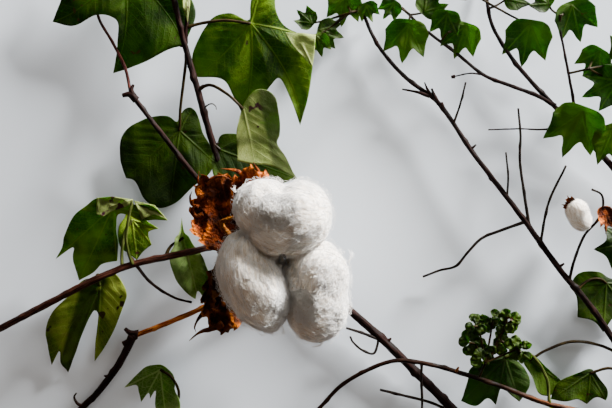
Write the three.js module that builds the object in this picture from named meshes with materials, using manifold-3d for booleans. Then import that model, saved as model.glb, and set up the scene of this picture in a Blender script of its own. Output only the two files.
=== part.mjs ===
// A fruiting bough of a cotton plant, cut from its shrub and lying down, in millimetres with +Z up.
// The open boll sits where the boughs meet. Every limb, leaf, lock of lint and bract is one named mesh.
import * as THREE from "three";
import { mergeVertices } from "three/addons/utils/BufferGeometryUtils.js";
import Module from "manifold-3d";

const wasm = await Module();
wasm.setup();

// Driving dimensions of the whole bough
const CLEARANCE = 0.35; // air between two pieces that touch on the real plant
const LIMB_SIDES = 7;
const TWIG_SIDES = 5;
const LIMB_STEP = 11; // length of one straight stretch of a limb
const TWIG_RADIUS = 1; // limbs thinner than this have fewer sides
const LEAF_THICKNESS = 0.7;
const PETIOLE_RADIUS = 0.75;
const SPRAY_THICKNESS = 0.5; // small leaves of the side shoots
const BRACT_THICKNESS = 0.6;
const BLADE_RINGS = [0.55, 1];
const DROOP_REACH = 40; // at this reach a leaf's edge has sunk by its droop
const CENTRE = [6.094, -17.947, 0.06]; // this point of the drawing becomes the part's origin

const COLOURS = {
  bark: { color: 0x4a2a1c, roughness: 0.62 },
  young_bark: { color: 0x9a4a22, roughness: 0.5 },
  leaf: { color: 0x34591a, roughness: 0.55 },
  pale_leaf: { color: 0x7c9158, roughness: 0.6 },
  lint: { color: 0xf3f0ea, roughness: 0.95 },
  bract: { color: 0x7a3d14, roughness: 0.8 },
};

// Each limb: its line from base to tip, its radius at both, its finish, and the limb it springs from.
const LIMBS = {
  main_stem: {
    line: [[129, -158, 2.4], [106, -134.5, 2.6], [66, -92.5, 3.5], [35.5, -62, 5], [17.5, -46, 5.5],
      [-2.5, -29, 5], [-20, -14.5, 5], [-35, -1, 6]],
    radius: [2.4, 1.6], finish: "bark",
  },
  upper_left_bough: {
    line: [[-34, -2, 6], [-47.5, 10.5, 9], [-62.5, 29.5, 13], [-77, 48.5, 15]],
    radius: [1.3, 1], finish: "bark", from: "main_stem",
  },
  top_bough: {
    line: [[-27.5, -7.5, 5.5], [-35, 8.5, 8], [-41.5, 27, 10], [-48, 51, 13], [-54, 72.5, 14],
      [-58, 90.5, 16], [-61, 105, 15]],
    radius: [1.6, 1.2], finish: "bark", from: "main_stem",
  },
  top_twig: {
    line: [[-53.5, 71, 13], [-52.8, 76, 14], [-51.8, 90, 15], [-50.5, 104, 14]],
    radius: [0.95, 0.75], finish: "bark", from: "top_bough",
  },
  left_bough: {
    line: [[-20, -15.5, 5], [-32, -18, 6], [-40.5, -19, 8], [-60, -23, 14], [-76, -26.5, 16],
      [-90, -32, 17], [-113, -43.5, 14], [-136.5, -55.5, 9], [-150.5, -62.5, 5]],
    radius: [1.5, 1.5], finish: "bark", from: "main_stem",
  },
  lower_left_bough: {
    line: [[-2.5, -30.5, 5], [-20, -36, 6], [-32, -41, 7], [-45, -46, 9], [-60.5, -52.5, 10], [-77, -59, 9]],
    radius: [1.2, 1.1], finish: "young_bark", from: "main_stem",
  },
  lower_left_shoot: {
    line: [[-77, -59, 9], [-84, -72, 8], [-94, -85, 5], [-102.5, -93.5, 3], [-109, -102, 2]],
    radius: [1.7, 1.4], finish: "bark", from: "lower_left_bough",
  },
  left_twig: {
    line: [[-75, -26, 16], [-68.5, -34.5, 14], [-58, -41.5, 12.5], [-50.5, -43.5, 12.5]],
    radius: [0.75, 0.5], finish: "bark", from: "left_bough",
  },
  stem_twig: {
    line: [[36, -62.5, 5], [27, -58.5, 7], [18, -55.5, 8]],
    radius: [0.75, 0.55], finish: "bark", from: "main_stem",
  },
  withered_twig: {
    line: [[33, -60, 5], [30.5, -67, 7], [25.5, -65.5, 9], [21, -61.5, 11], [19.5, -58.5, 14]],
    radius: [0.6, 0.45], finish: "bark", from: "main_stem",
  },
  right_bough: {
    line: [[104, -131.5, 2.6], [126.5, -121.5, 3], [144, -104.5, 4], [148, -81.5, 5], [132, -51.5, 6],
      [114, -29.5, 7], [97.5, -7, 8], [73.5, 25, 7], [59.5, 45.5, 6], [44.5, 57.5, 5], [32.5, 72, 4],
      [25.5, 88, 3], [22.5, 99.5, 2]],
    radius: [1.8, 0.75], finish: "bark", from: "main_stem",
  },
  crossing_twig: {
    line: [[145.5, -100, 4], [127.5, -93.5, 9.5], [106.5, -88.5, 11], [86.5, -81, 10.5], [66.5, -74.5, 10],
      [53, -71, 10], [39.5, -70, 9], [25, -76, 6], [15.5, -82.5, 4], [5.5, -93.5, 2]],
    radius: [1.25, 0.85], finish: "young_bark", from: "right_bough",
  },
  low_twig: {
    line: [[70, -96, 3], [56, -89.5, 5], [42.5, -86, 5], [33.5, -84, 4]],
    radius: [0.7, 0.6], finish: "bark", from: "main_stem",
  },
  hanging_twig: {
    line: [[51.5, -71, 10], [51.5, -78.5, 9], [52, -88.5, 8], [52, -100.5, 2]],
    radius: [0.65, 0.5], finish: "bark", from: "crossing_twig",
  },
  right_twig_1: {
    line: [[100, -10.5, 8], [97.5, 4, 9], [95.5, 19.5, 9], [96, 31, 8], [95.5, 43, 6]],
    radius: [0.75, 0.5], finish: "bark", from: "right_bough",
  },
  right_twig_2: {
    line: [[90, 3, 8], [90, 12, 10], [89, 23, 10]],
    radius: [0.5, 0.4], finish: "bark", from: "right_bough",
  },
  right_twig_3: {
    line: [[105, -17, 8], [108, 0.5, 10], [115.5, 17, 11]],
    radius: [0.65, 0.5], finish: "bark", from: "right_bough",
  },
  right_twig_4: {
    line: [[98, -8, 8], [87, -12, 7], [79, -15.5, 6], [73, -21.5, 6], [67.5, -28, 5], [60.5, -30, 4],
      [53, -33, 3]],
    radius: [0.75, 0.5], finish: "bark", from: "right_bough",
  },
  right_twig_5: {
    line: [[66, 35.5, 7], [69, 44.5, 8], [71.5, 54.5, 8]],
    radius: [0.55, 0.4], finish: "bark", from: "right_bough",
  },
  upper_right_bough: {
    line: [[148, -85, 5], [159, -57, 4], [161.5, -27.5, 3], [152.5, -0.5, 3], [138.5, 17, 4],
      [123.5, 32.5, 5], [117, 38.5, 6]],
    radius: [1.6, 1.3], finish: "bark", from: "right_bough",
  },
  upper_right_fork: {
    line: [[117, 38.5, 6], [101, 55.5, 6], [92, 66.5, 6], [83.5, 82, 5], [81.5, 102, 2]],
    radius: [1.1, 0.75], finish: "bark", from: "upper_right_bough",
  },
  upper_right_shoot: {
    line: [[112, 44, 6], [105, 48, 7], [91.5, 53, 8], [80.5, 57.5, 7], [67, 68, 7], [53.5, 78.5, 6],
      [43.5, 89, 3]],
    radius: [0.95, 0.6], finish: "bark", from: "upper_right_fork",
  },
  upper_right_twig: {
    line: [[122, 34, 5], [120, 44, 8], [116.5, 60, 10], [113, 80, 9]],
    radius: [0.75, 0.5], finish: "bark", from: "upper_right_bough",
  },
  boll_twig: {
    line: [[118, -35.5, 7], [119.5, -26, 9], [124, -14, 10], [131, -5, 11], [131, 4, 12], [126.5, 6.5, 12]],
    radius: [0.7, 0.5], finish: "bark", from: "right_bough",
  },
};

// Each leaf: where its veins meet, its rim, its stalk and the limb it springs from. The rim is a round of
// points, each a direction in degrees, a reach and a 1 where it is drawn out to a point. Lean tips the blade
// down towards a direction, droop lowers its edge, and swirl or gather swing the far parts of its lobes.
const LEAVES = {
  leaf_top_left: {
    at: [-80.5, 104, 10], from: "upper_left_bough", finish: "leaf", lean: [1, 262], droop: 1.5, swirl: [-12, 46],
    stalk: [[-77, 48.5, 15], [-80.5, 60.5, 10], [-86.5, 72, 7], [-93.5, 85, 6.5], [-93, 98, 7], [-87, 104, 8]],
    rim: [[180, 28], [205, 30], [223, 40, 1], [232, 34], [239, 24], [252, 21.5], [264, 23], [269, 32],
      [274, 45.7, 1], [281, 43.4], [295, 41], [307, 40], [318, 42, 1], [336, 37], [350, 28], [18, 25], [45, 30, 1],
      [62, 18], [80, 3], [100, 3], [120, 18], [140, 28, 1], [160, 22]],
  },
  leaf_top: {
    at: [-24.5, 80, 12], from: "top_twig", finish: "leaf", lean: [3, -80], droop: 3, swirl: [-14, 50],
    stalk: [[-52.3, 78, 14], [-46, 79.5, 14.5], [-36, 81, 13.5]],
    rim: [[-147, 30], [-131, 34, 1], [-112, 27.7], [-98, 33], [-87, 40, 1], [-76, 33], [-67, 28.5], [-58.5, 27],
      [-54, 38], [-50, 50, 1], [-42, 41], [-29, 33.6], [-9, 29.5, 1], [-3, 15.5], [20, 12.5], [45, 15], [62, 26],
      [75, 34, 1], [86, 22], [92, 8], [120, 2], [153, 10], [170, 16.3], [187, 20.5]],
  },
  leaf_folded: {
    at: [-27, 41, 21.5], from: "top_bough", finish: "pale_leaf", lean: [11, -75], droop: 2,
    stalk: [[-47, 51, 13], [-42, 52, 17], [-34, 47.5, 21]],
    rim: [[-124, 2.4], [-108, 10], [-101, 15.5], [-97, 22.5, 1], [-81, 24], [-64, 27], [-52.5, 37, 1], [-48.5, 28],
      [-45, 20.5], [-36, 19.3], [-20, 16.8], [0, 15], [18, 14.8], [33, 13.8], [47, 11.8], [58, 9.6], [67, 6],
      [100, 1.5]],
  },
  leaf_under: {
    at: [-57, 33, 5], from: "top_bough", finish: "leaf", lean: [0, 0], droop: 2.5,
    stalk: [[-52.7, 66, 13], [-54.5, 56, 9], [-56.5, 42, 6.5]],
    rim: [[127, 8], [160, 16], [183, 25.5], [204, 29.5], [221, 32.5, 1], [227, 30.5], [243, 34.8], [254, 36.2],
      [265, 33], [283, 26], [300, 24], [320, 21], [335, 15], [355, 10.5], [30, 10.2], [52, 11.5], [66, 11.6],
      [78, 9.7], [90, 6], [104, 4]],
  },
  leaf_behind: {
    at: [-38, 24, 10], from: "top_bough", finish: "leaf", lean: [0, 0], droop: 0,
    stalk: [[-42.5, 30, 10.5], [-41, 27, 10.5]],
    rim: [[-140, 5], [-100, 13], [-70, 19], [-45, 25], [-29, 31], [-20.4, 36.5, 1], [-13, 31], [4, 22],
      [30, 12.5], [58, 8.7], [90, 6.5], [125, 3]],
  },
  leaf_left: {
    at: [-84, -1, 17], from: "left_bough", finish: "leaf", lean: [17, 240], droop: 1,
    stalk: [[-76, -26.5, 17], [-78, -16, 20], [-76.5, -5, 21], [-75.5, 1, 20], [-79, 1, 18.5]],
    rim: [[152, 8], [180, 12.7], [192, 18.1], [205, 24.3], [211, 28], [216, 31], [220.5, 39, 1], [224, 27.5],
      [228, 30.5], [235, 36], [241, 40.5, 1], [249, 33], [254, 28], [268, 25.5, 1], [272, 18], [276, 9], [310, 4],
      [335, 14.2], [341, 18], [346, 24.6, 1], [2, 18], [8, 9], [90, 3]],
  },
  leaf_young: {
    at: [-77, -7, 12], from: "left_bough", finish: "pale_leaf", lean: [5, -60], droop: 1,
    stalk: [[-80.5, -28.5, 16.5], [-81, -20, 14], [-79.5, -11, 12.5]],
    rim: [[-156, 6.2], [-128, 10], [-112, 13.6], [-95, 15.5], [-84, 18, 1], [-72, 15], [-52.5, 14, 1], [-38, 9],
      [-18.5, 12.2, 1], [10, 5], [60, 3.5], [120, 4], [169, 3.5]],
  },
  leaf_low_left: {
    at: [-92, -36.5, 9], from: "left_bough", finish: "pale_leaf", lean: [7, 253], droop: 1,
    gather: [253, 0.35, 46], stalk: [[-90, -32, 15], [-92.5, -31.5, 12]],
    rim: [[193, 14], [202, 24], [209, 31.5], [222, 38.6], [230, 44, 1], [232, 36], [237, 40], [245.5, 44, 1],
      [247, 35], [247.5, 24], [250, 15], [256, 11.7], [263, 13], [265, 20], [265.5, 28], [267, 35.5, 1],
      [276, 28.6], [289, 21.6], [319, 14.2], [347, 12.5], [13, 10], [43, 8.8], [90, 3], [150, 7]],
  },
  leaf_by_boll: {
    at: [-55, -15, 7.5], from: "left_bough", finish: "leaf", lean: [6, 280], droop: 1,
    stalk: [[-62.5, -23.5, 11], [-60.5, -19, 9]],
    rim: [[94, 9, 1], [125, 2.8], [180, 3.4], [219, 4.9], [229, 8.6], [239, 11.5], [250, 15], [261, 20], [272, 25],
      [280, 28.8, 1], [284.5, 25], [288.5, 31.3, 1], [298, 25.3], [305, 21], [308, 16.8], [315, 12], [327, 5.2],
      [20, 2.6], [70, 2.4]],
  },
  leaf_low: {
    at: [-65, -74, 9], from: "lower_left_shoot", finish: "leaf", lean: [7, 260], droop: 2,
    stalk: [[-107, -99, 3], [-99, -108, 4.5], [-80, -110, 6], [-65, -100, 5], [-57, -86, 7], [-60, -77, 10]],
    rim: [[125, 3], [169, 6.6], [190, 10.3], [207, 18.6, 1], [214, 13], [226, 14.2], [239, 17.3, 1], [243, 12],
      [250, 14, 1], [256, 9.7], [262, 17.4], [275, 27, 1], [289, 23], [300, 17], [306, 11], [325, 8], [350, 5],
      [70, 2.5]],
  },
  leaf_right_1: {
    at: [89, -69, 8], from: "crossing_twig", finish: "pale_leaf", lean: [3, 262], droop: 2,
    stalk: [[108, -88.7, 11], [107.5, -78, 9], [100, -67, 8.5], [93, -67, 8.5]],
    rim: [[170, 3], [199, 16], [213, 19], [229, 28, 1], [241, 26], [250, 20], [261, 22, 1], [267, 13.5], [277, 16],
      [289, 21, 1], [303, 18], [318, 15], [331, 10.5], [347, 6], [60, 2.5]],
  },
  leaf_right_2: {
    at: [101, -70.5, 5], from: "right_bough", finish: "leaf", lean: [1, -50], droop: 1,
    stalk: [[146, -74, 5], [138, -66, 5], [121, -62, 5], [108, -66, 5.5]],
    rim: [[-85, 7], [-76, 15], [-63, 18], [-52, 19], [-36, 25, 1], [-31, 14], [-20, 7], [60, 2.5], [180, 3]],
  },
  leaf_right_3: {
    at: [127.5, -76, 6.8], from: "right_bough", finish: "leaf", lean: [1, 250], droop: 1,
    stalk: [[148, -84, 5], [144, -77, 7], [136, -73.5, 8]],
    rim: [[187, 9], [195, 15.5], [214, 21, 1], [228, 17], [242, 13], [265, 14, 1], [285, 11], [300, 14, 1],
      [310, 12], [318, 10], [330, 5], [70, 2]],
  },
  leaf_right_4: {
    at: [121, -101, 3.5], from: "right_bough", finish: "pale_leaf", lean: [-9, 130], droop: 0,
    stalk: [[144, -105, 4], [136, -105.5, 4], [128, -104, 4]],
    rim: [[10, 4], [35, 8, 1], [60, 6], [95, 8, 1], [115, 9.5], [135, 17, 1], [150, 14], [168, 16, 1],
      [195, 9], [225, 10, 1], [290, 3]],
  },
  leaf_edge_1: {
    at: [136, -36, 3.4], from: "right_bough", finish: "leaf", lean: [0, 225], droop: 0,
    stalk: [[121, -39.5, 5.5], [128, -34.5, 4.2], [133, -34, 4]],
    rim: [[120, 6], [160, 14], [185, 17, 1], [205, 15], [230, 20, 1], [250, 18], [266, 22, 1], [285, 15],
      [310, 18, 1], [330, 11], [0, 12, 1], [60, 3]],
  },
  leaf_edge_2: {
    at: [143, -18, 8], from: "upper_right_bough", finish: "leaf", lean: [5, 180], droop: 1,
    stalk: [[161.5, -25, 3.5], [154, -17, 8], [147, -16, 9]],
    rim: [[60, 5], [90, 10, 1], [115, 8], [140, 12, 1], [165, 9], [190, 14, 1], [215, 10], [245, 13, 1], [275, 7],
      [320, 3]],
  },
};

// Rim of a round young leaf: turns from its middle in degrees, and shares of its reach.
const ROUND_RIM = [[-128, 0.5], [-80, 0.8], [-40, 0.95], [0, 1, 1], [40, 0.95], [80, 0.8], [128, 0.5]];

// Sprays: small leaves in one mass each, on short stalks that meet on one limb. Each row is one leaf: where
// its veins meet, the direction of its middle lobe in degrees, and that lobe's reach.
const SPRAYS = {
  foliage_right_tip: {
    from: "right_bough",
    leaves: [[18, 94, 5, 262, 14], [27, 90, 5, 292, 8.5], [6.5, 78.5, 4.5, 345, 11.5], [4.8, 75.5, 5.5, 285, 9.5],
      [2.5, 81.5, 5, 140, 9]],
  },
  foliage_upper_right_1: {
    from: "upper_right_shoot", leaves: [[45.5, 80, 10.5, 262, 17.5], [39.5, 90, 9, 235, 9], [53, 86, 8, 50, 12]],
  },
  foliage_upper_right_2: {
    from: "upper_right_shoot", leaves: [[71, 79, 10, 252, 15], [62.5, 84.5, 12, 262, 12]],
  },
  foliage_upper_right_3: {
    from: "upper_right_fork", leaves: [[100, 80, 9, 262, 19], [90, 92, 7, 20, 12], [74, 96, 7, 150, 12]],
  },
  foliage_upper_right_4: {
    from: "upper_right_twig", leaves: [[118, 88, 11, 290, 17], [108, 89, 10, 150, 10]],
  },
  foliage_right_edge_1: { from: "upper_right_bough", leaves: [[123, 41, 10, 250, 22], [137, 34, 9, 285, 19]] },
  foliage_right_edge_2: {
    from: "upper_right_twig", leaves: [[139, 55, 10, 205, 17], [131, 68, 9, 240, 13], [143, 64, 11, 95, 15]],
  },
  foliage_low_right: {
    from: "crossing_twig", shape: ROUND_RIM,
    leaves: [[76.5, -54.3, 12, 140, 6], [82.7, -52.5, 12, 95, 6], [88.9, -53.4, 12, 60, 6.5],
      [74.7, -61.8, 12, 190, 6.5], [79.2, -65.8, 12.5, 235, 6], [86.3, -60.5, 12.5, 300, 6.5],
      [93.4, -64, 12.5, 330, 6.5]],
  },
};
const SPRAY_STALK = 0.55;
const SPRAY_RIM = [[-128, 0.2], [-96, 0.42], [-70, 0.6], [-48, 0.7], [-34, 0.93, 1], [-20, 0.62], [0, 1, 1],
  [20, 0.62], [34, 0.93, 1], [48, 0.7], [70, 0.6], [96, 0.42], [128, 0.2]];

// The boll: three locks of lint, each a pair of rounded swellings seen from a point between them.
// A swelling is its middle and its three half widths.
const BOLL_BASE = [-30, -20, 15];
const LOCKS = {
  lint_upper: {
    eye: [-10, -6, 41],
    swellings: [[-17.5, -1.5, 41, 12, 12, 18], [-1.6, -5, 42, 12, 14.5, 20], [-11, -12, 43, 13.5, 11.5, 18]],
  },
  lint_left: {
    eye: [-21, -31, 38],
    swellings: [[-24.5, -26, 38, 12.3, 16, 20], [-17, -39, 37, 11.4, 13, 18], [-18, -28, 38, 11, 12, 17]],
  },
  lint_right: {
    eye: [4, -35, 36],
    swellings: [[5.5, -29.5, 37, 12, 14, 19], [4.4, -44, 35, 13, 13.6, 18], [-1, -28, 36, 9.5, 11, 16]],
  },
};
const LOCK_BLEND = 9; // how sharply one swelling gives way to the next
const LOCK_SEGMENTS = [20, 14];
const SMALL_LOCKS = {
  small_boll: { eye: [121, -5.5, 11], swellings: [[120, -2.5, 11.5, 5, 4.8, 5.2], [122.5, -7.5, 10.5, 4.4, 4.6, 4.8]] },
};
const SMALL_SEGMENTS = [12, 8];

// Bracts round the boll: teeth as direction and reach, with the blade between them at a share of that reach.
const BRACTS = {
  bract_upper: { teeth: [[62, 34], [70, 38], [80, 39], [91, 34], [102, 38], [109, 34]], body: 0.84, lean: [-13, 85] },
  bract_left: {
    teeth: [[115, 39], [123, 35], [131, 31], [139, 29], [147, 25], [155, 24], [164, 19], [174, 15], [184, 10]],
    body: 0.8, lean: [-18, 150],
  },
  bract_lower: {
    teeth: [[221, 18], [229, 26], [236, 34], [243, 46], [251, 36], [259, 38.5], [268, 35], [277, 33]],
    body: 0.84, lean: [-7, 250],
  },
};
const BRACT_FOOT = 3.5; // reach of a bract's base, inside the bur
const BRACT_DROP = 3; // how far below the bur's rim the bracts spring
const BUR_RADIUS = 5;
const BUR_HEIGHT = 5;
const VALVE_RIM = [[-150, 3], [-80, 6], [-40, 9], [-18, 17], [0, 25], [18, 17], [40, 9], [80, 6], [150, 3]];
const VALVE_DIRECTIONS = [52, -115, -36];
const VALVE_THICKNESS = 1;

const radians = THREE.MathUtils.degToRad;
const vector = (p) => new THREE.Vector3(...p);

// A closed geometry as a solid for joining and cutting.
function solidOf(geometry) {
  const bare = geometry.clone();
  bare.deleteAttribute("normal");
  bare.deleteAttribute("uv");
  const merged = mergeVertices(bare, 1e-4);
  const index = [...merged.index.array];
  const kept = [];
  for (let i = 0; i < index.length; i += 3) {
    const [a, b, c] = index.slice(i, i + 3);
    if (a !== b && b !== c && c !== a) kept.push(a, b, c);
  }
  const mesh = new wasm.Mesh({
    numProp: 3,
    vertProperties: merged.attributes.position.array,
    triVerts: new Uint32Array(kept),
  });
  return new wasm.Manifold(mesh);
}

// The largest body of a solid, as a geometry for a mesh. Booleans can leave loose crumbs.
function geometryOf(solid) {
  const largest = solid.decompose().sort((a, b) => b.volume() - a.volume())[0];
  const mesh = largest.getMesh();
  const geometry = new THREE.BufferGeometry();
  geometry.setAttribute("position", new THREE.BufferAttribute(mesh.vertProperties, 3));
  geometry.setIndex(new THREE.BufferAttribute(mesh.triVerts, 1));
  geometry.computeVertexNormals();
  return geometry;
}

// A tapering limb: a capped cylinder whose rings are carried along a smooth curve.
function limb(line, [baseRadius, tipRadius], extra = 0) {
  const curve = new THREE.CatmullRomCurve3(line.map(vector), false, "centripetal");
  const length = curve.getLength();
  const steps = Math.max(3, Math.round(length / LIMB_STEP));
  const sides = baseRadius < TWIG_RADIUS ? TWIG_SIDES : LIMB_SIDES;
  const frames = curve.computeFrenetFrames(steps, false);
  const cylinder = new THREE.CylinderGeometry(1, 1, 1, sides, steps);
  const places = cylinder.attributes.position;
  for (let i = 0; i < places.count; i++) {
    const share = THREE.MathUtils.clamp(places.getY(i) + 0.5, 0, 1);
    const step = Math.round(share * steps);
    const radius = THREE.MathUtils.lerp(baseRadius, tipRadius, share) + extra;
    const place = curve.getPointAt(step / steps);
    if (step === 0) place.addScaledVector(frames.tangents[0], -extra);
    if (step === steps) place.addScaledVector(frames.tangents[steps], extra);
    place.addScaledVector(frames.normals[step], places.getX(i) * radius);
    place.addScaledVector(frames.binormals[step], -places.getZ(i) * radius);
    places.setXYZ(i, place.x, place.y, place.z);
  }
  return solidOf(cylinder);
}

// Where a direction and a reach from a leaf's middle lie on its flat blade, with its lobes swung.
function onBlade([angle, reach], { swirl = [0, 1], gather = [0, 0, 1] }) {
  const off = ((angle - gather[0] + 540) % 360) - 180;
  const gathered = angle - off * gather[1] * (reach / gather[2]) ** 1.5;
  const swung = radians(gathered + swirl[0] * (reach / swirl[1]) ** 2);
  return new THREE.Vector3(reach * Math.cos(swung), reach * Math.sin(swung), 0);
}

// The rim of a bract: long thin teeth on a body, closed by a short base behind.
function toothedRim(teeth, body) {
  const rim = [];
  teeth.forEach(([angle, reach], i) => {
    rim.push([angle - 2, reach * body], [angle, reach], [angle + 2, reach * body]);
    const next = teeth[i + 1];
    if (next) rim.push([(angle + next[0]) / 2, ((reach + next[1]) / 2) * body * 0.9]);
  });
  const [first, last] = [teeth[0][0], teeth[teeth.length - 1][0]];
  const behind = first + 360 - last;
  for (const share of [0.03, 0.25, 0.5, 0.75, 0.97]) rim.push([last + behind * share, BRACT_FOOT]);
  return rim;
}

// A thin blade: a disc turned on a lathe, whose rim and rings are drawn out to the blade's own outline.
function blade(rim, rings, thickness, spec) {
  const half = thickness / 2;
  const under = [0, ...rings].map((r) => new THREE.Vector2(r, -half));
  const profile = [...under, ...under.map((p) => new THREE.Vector2(p.x, half)).reverse()];
  const disc = new THREE.LatheGeometry(profile, rim.length);
  const [angle, toward] = [spec.lean[0], radians(spec.lean[1])];
  const tilt = new THREE.Quaternion().setFromAxisAngle(
    new THREE.Vector3(-Math.sin(toward), Math.cos(toward), 0), radians(angle));
  const middle = (index, share) => {
    const [turn, reach] = rim[((index % rim.length) + rim.length) % rim.length];
    const place = onBlade([turn, reach * share], spec);
    place.z = -(spec.droop ?? 0) * ((reach * share) / DROOP_REACH) ** 2;
    return place.applyQuaternion(tilt).add(vector(spec.at));
  };
  const places = disc.attributes.position;
  const normal = new THREE.Vector3(0, 0, 1).applyQuaternion(tilt);
  for (let i = 0; i < places.count; i++) {
    const [x, y, z] = [places.getX(i), places.getY(i), places.getZ(i)];
    const index = Math.round((Math.atan2(x, z) / (2 * Math.PI)) * rim.length);
    const place = middle(index, Math.hypot(x, z)).addScaledVector(normal, y);
    places.setXYZ(i, place.x, place.y, place.z);
  }
  return solidOf(disc);
}

// A leaf is its blade with its stalk joined on, cut clear of the limb it springs from.
function leaf(spec) {
  const made = blade(spec.rim, BLADE_RINGS, LEAF_THICKNESS, spec);
  const stalk = limb([...spec.stalk, spec.at], [PETIOLE_RADIUS, PETIOLE_RADIUS * 0.8]);
  return made.add(stalk).subtract(limbSolid(spec.from, CLEARANCE));
}

function limbSolid(name, extra = 0) {
  return limb(LIMBS[name].line, LIMBS[name].radius, extra);
}

// The point of a limb's line that lies nearest a place.
function nearestOnLimb(name, place) {
  const curve = new THREE.CatmullRomCurve3(LIMBS[name].line.map(vector), false, "centripetal");
  return curve.getSpacedPoints(120).sort((a, b) => a.distanceTo(place) - b.distanceTo(place))[0];
}

// A spray is several small leaves whose stalks meet on one stalk that springs from the limb.
function spray({ from, leaves, shape = SPRAY_RIM }) {
  const middle = new THREE.Vector3();
  for (const place of leaves) middle.addScaledVector(vector(place), 1 / leaves.length);
  const root = nearestOnLimb(from, middle);
  const fork = root.clone().lerp(middle, 0.4);
  fork.z = root.z + 2.5;
  let made = limb([root.toArray(), root.clone().lerp(fork, 0.6).toArray(), fork.toArray()], [SPRAY_STALK, SPRAY_STALK]);
  for (const [x, y, z, direction, reach] of leaves) {
    const at = [x, y, z];
    const rim = shape.map(([turn, share]) => [direction + turn, reach * share]);
    const stalk = limb([fork.toArray(), fork.clone().lerp(vector(at), 0.6).setZ(z + 0.8).toArray(), at],
      [SPRAY_STALK, SPRAY_STALK * 0.8]);
    made = made.add(blade(rim, [1], SPRAY_THICKNESS, { at, lean: [14, direction] })).add(stalk);
  }
  return made.subtract(limbSolid(from, CLEARANCE));
}

// How far a swelling reaches from the eye along a way out, or nothing where it is missed.
function swellingReach(way, eye, [x, y, z, a, b, c], extra) {
  const scale = new THREE.Vector3(1 / (a + extra), 1 / (b + extra), 1 / (c + extra));
  const from = eye.clone().sub(new THREE.Vector3(x, y, z)).multiply(scale);
  const along = way.clone().multiply(scale);
  const [p, q, r] = [along.dot(along), from.dot(along), from.dot(from) - 1];
  const root = q * q - p * r;
  return root < 0 ? 0 : Math.max(0, (-q + Math.sqrt(root)) / p);
}

// A lock of lint: a sphere drawn out to its swellings, which run smoothly together.
function lock({ eye, swellings }, [across, down], extra = 0) {
  const centre = vector(eye);
  const ball = new THREE.SphereGeometry(1, across, down);
  const places = ball.attributes.position;
  for (let i = 0; i < places.count; i++) {
    const way = new THREE.Vector3().fromBufferAttribute(places, i).normalize();
    const powers = swellings.map((s) => swellingReach(way, centre, s, extra) ** LOCK_BLEND);
    const reach = powers.reduce((sum, p) => sum + p, 0) ** (1 / LOCK_BLEND);
    const place = way.multiplyScalar(reach).add(centre);
    places.setXYZ(i, place.x, place.y, place.z);
  }
  return solidOf(ball);
}

// The bur: a short cup on the boll's stalk, with a pointed valve behind each lock.
function bur(locks) {
  const [x, y, z] = BOLL_BASE;
  const profile = [[0, -BUR_HEIGHT], [BUR_RADIUS * 0.5, -BUR_HEIGHT], [BUR_RADIUS, 0], [BUR_RADIUS * 0.9, 1.6], [0, 1.6]];
  const cup = new THREE.LatheGeometry(profile.map((p) => new THREE.Vector2(...p)), 12).rotateX(Math.PI / 2);
  let made = solidOf(cup.translate(x, y, z));
  for (const direction of VALVE_DIRECTIONS) {
    const rim = VALVE_RIM.map(([turn, reach]) => [direction + turn, reach]);
    const curl = { at: [x, y, z + 0.6], lean: [-16, direction], droop: -9 };
    made = made.add(blade(rim, BLADE_RINGS, VALVE_THICKNESS, curl));
  }
  return locks.reduce((solid, cutter) => solid.subtract(cutter), made);
}

// The room the bracts leave round the bur.
function burCutter() {
  const [x, y, z] = BOLL_BASE;
  const radius = BUR_RADIUS + CLEARANCE;
  const room = new THREE.CylinderGeometry(radius, radius, 4 * BUR_HEIGHT, 12).rotateX(Math.PI / 2);
  return solidOf(room.translate(x, y, z));
}

const part = new THREE.Group();
const materials = Object.fromEntries(
  Object.entries(COLOURS).map(([name, look]) => [name, new THREE.MeshStandardMaterial({ metalness: 0, ...look })]),
);

function addPiece(name, solid, finish) {
  const mesh = new THREE.Mesh(geometryOf(solid), materials[finish]);
  mesh.name = name;
  part.add(mesh);
}

for (const [name, spec] of Object.entries(LIMBS)) {
  const whole = limbSolid(name);
  const solid = spec.from ? whole.subtract(limbSolid(spec.from, CLEARANCE)) : whole;
  addPiece(name, solid, spec.finish);
}
for (const [name, spec] of Object.entries(LEAVES)) addPiece(name, leaf(spec), spec.finish);
for (const [name, spec] of Object.entries(SPRAYS)) addPiece(name, spray(spec), "leaf");

const lockNames = Object.keys(LOCKS);
lockNames.forEach((name, i) => {
  const earlier = lockNames.slice(0, i).map((other) => lock(LOCKS[other], LOCK_SEGMENTS, CLEARANCE));
  const solid = earlier.reduce((made, cutter) => made.subtract(cutter), lock(LOCKS[name], LOCK_SEGMENTS));
  addPiece(name, solid, "lint");
});
const grownLocks = lockNames.map((name) => lock(LOCKS[name], LOCK_SEGMENTS, CLEARANCE));
addPiece("bur", bur(grownLocks), "bract");

const bractAt = (name, extra = 0) => {
  const [x, y, z] = BOLL_BASE;
  const { teeth, body, lean } = BRACTS[name];
  const rim = toothedRim(teeth, body).map(([angle, reach]) => [angle, reach + extra]);
  return blade(rim, BLADE_RINGS, BRACT_THICKNESS + 2 * extra, { at: [x, y, z - BRACT_DROP], lean });
};
const bractCutters = [burCutter()];
for (const name of Object.keys(BRACTS)) {
  addPiece(name, bractCutters.reduce((made, cutter) => made.subtract(cutter), bractAt(name)), "bract");
  bractCutters.push(bractAt(name, CLEARANCE));
}
for (const [name, spec] of Object.entries(SMALL_LOCKS)) {
  addPiece(name, lock(spec, SMALL_SEGMENTS).subtract(limbSolid("boll_twig", CLEARANCE)), "lint");
}

part.children.forEach((mesh) => mesh.geometry.translate(...CENTRE.map((value) => -value)));

export default part;
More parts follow.
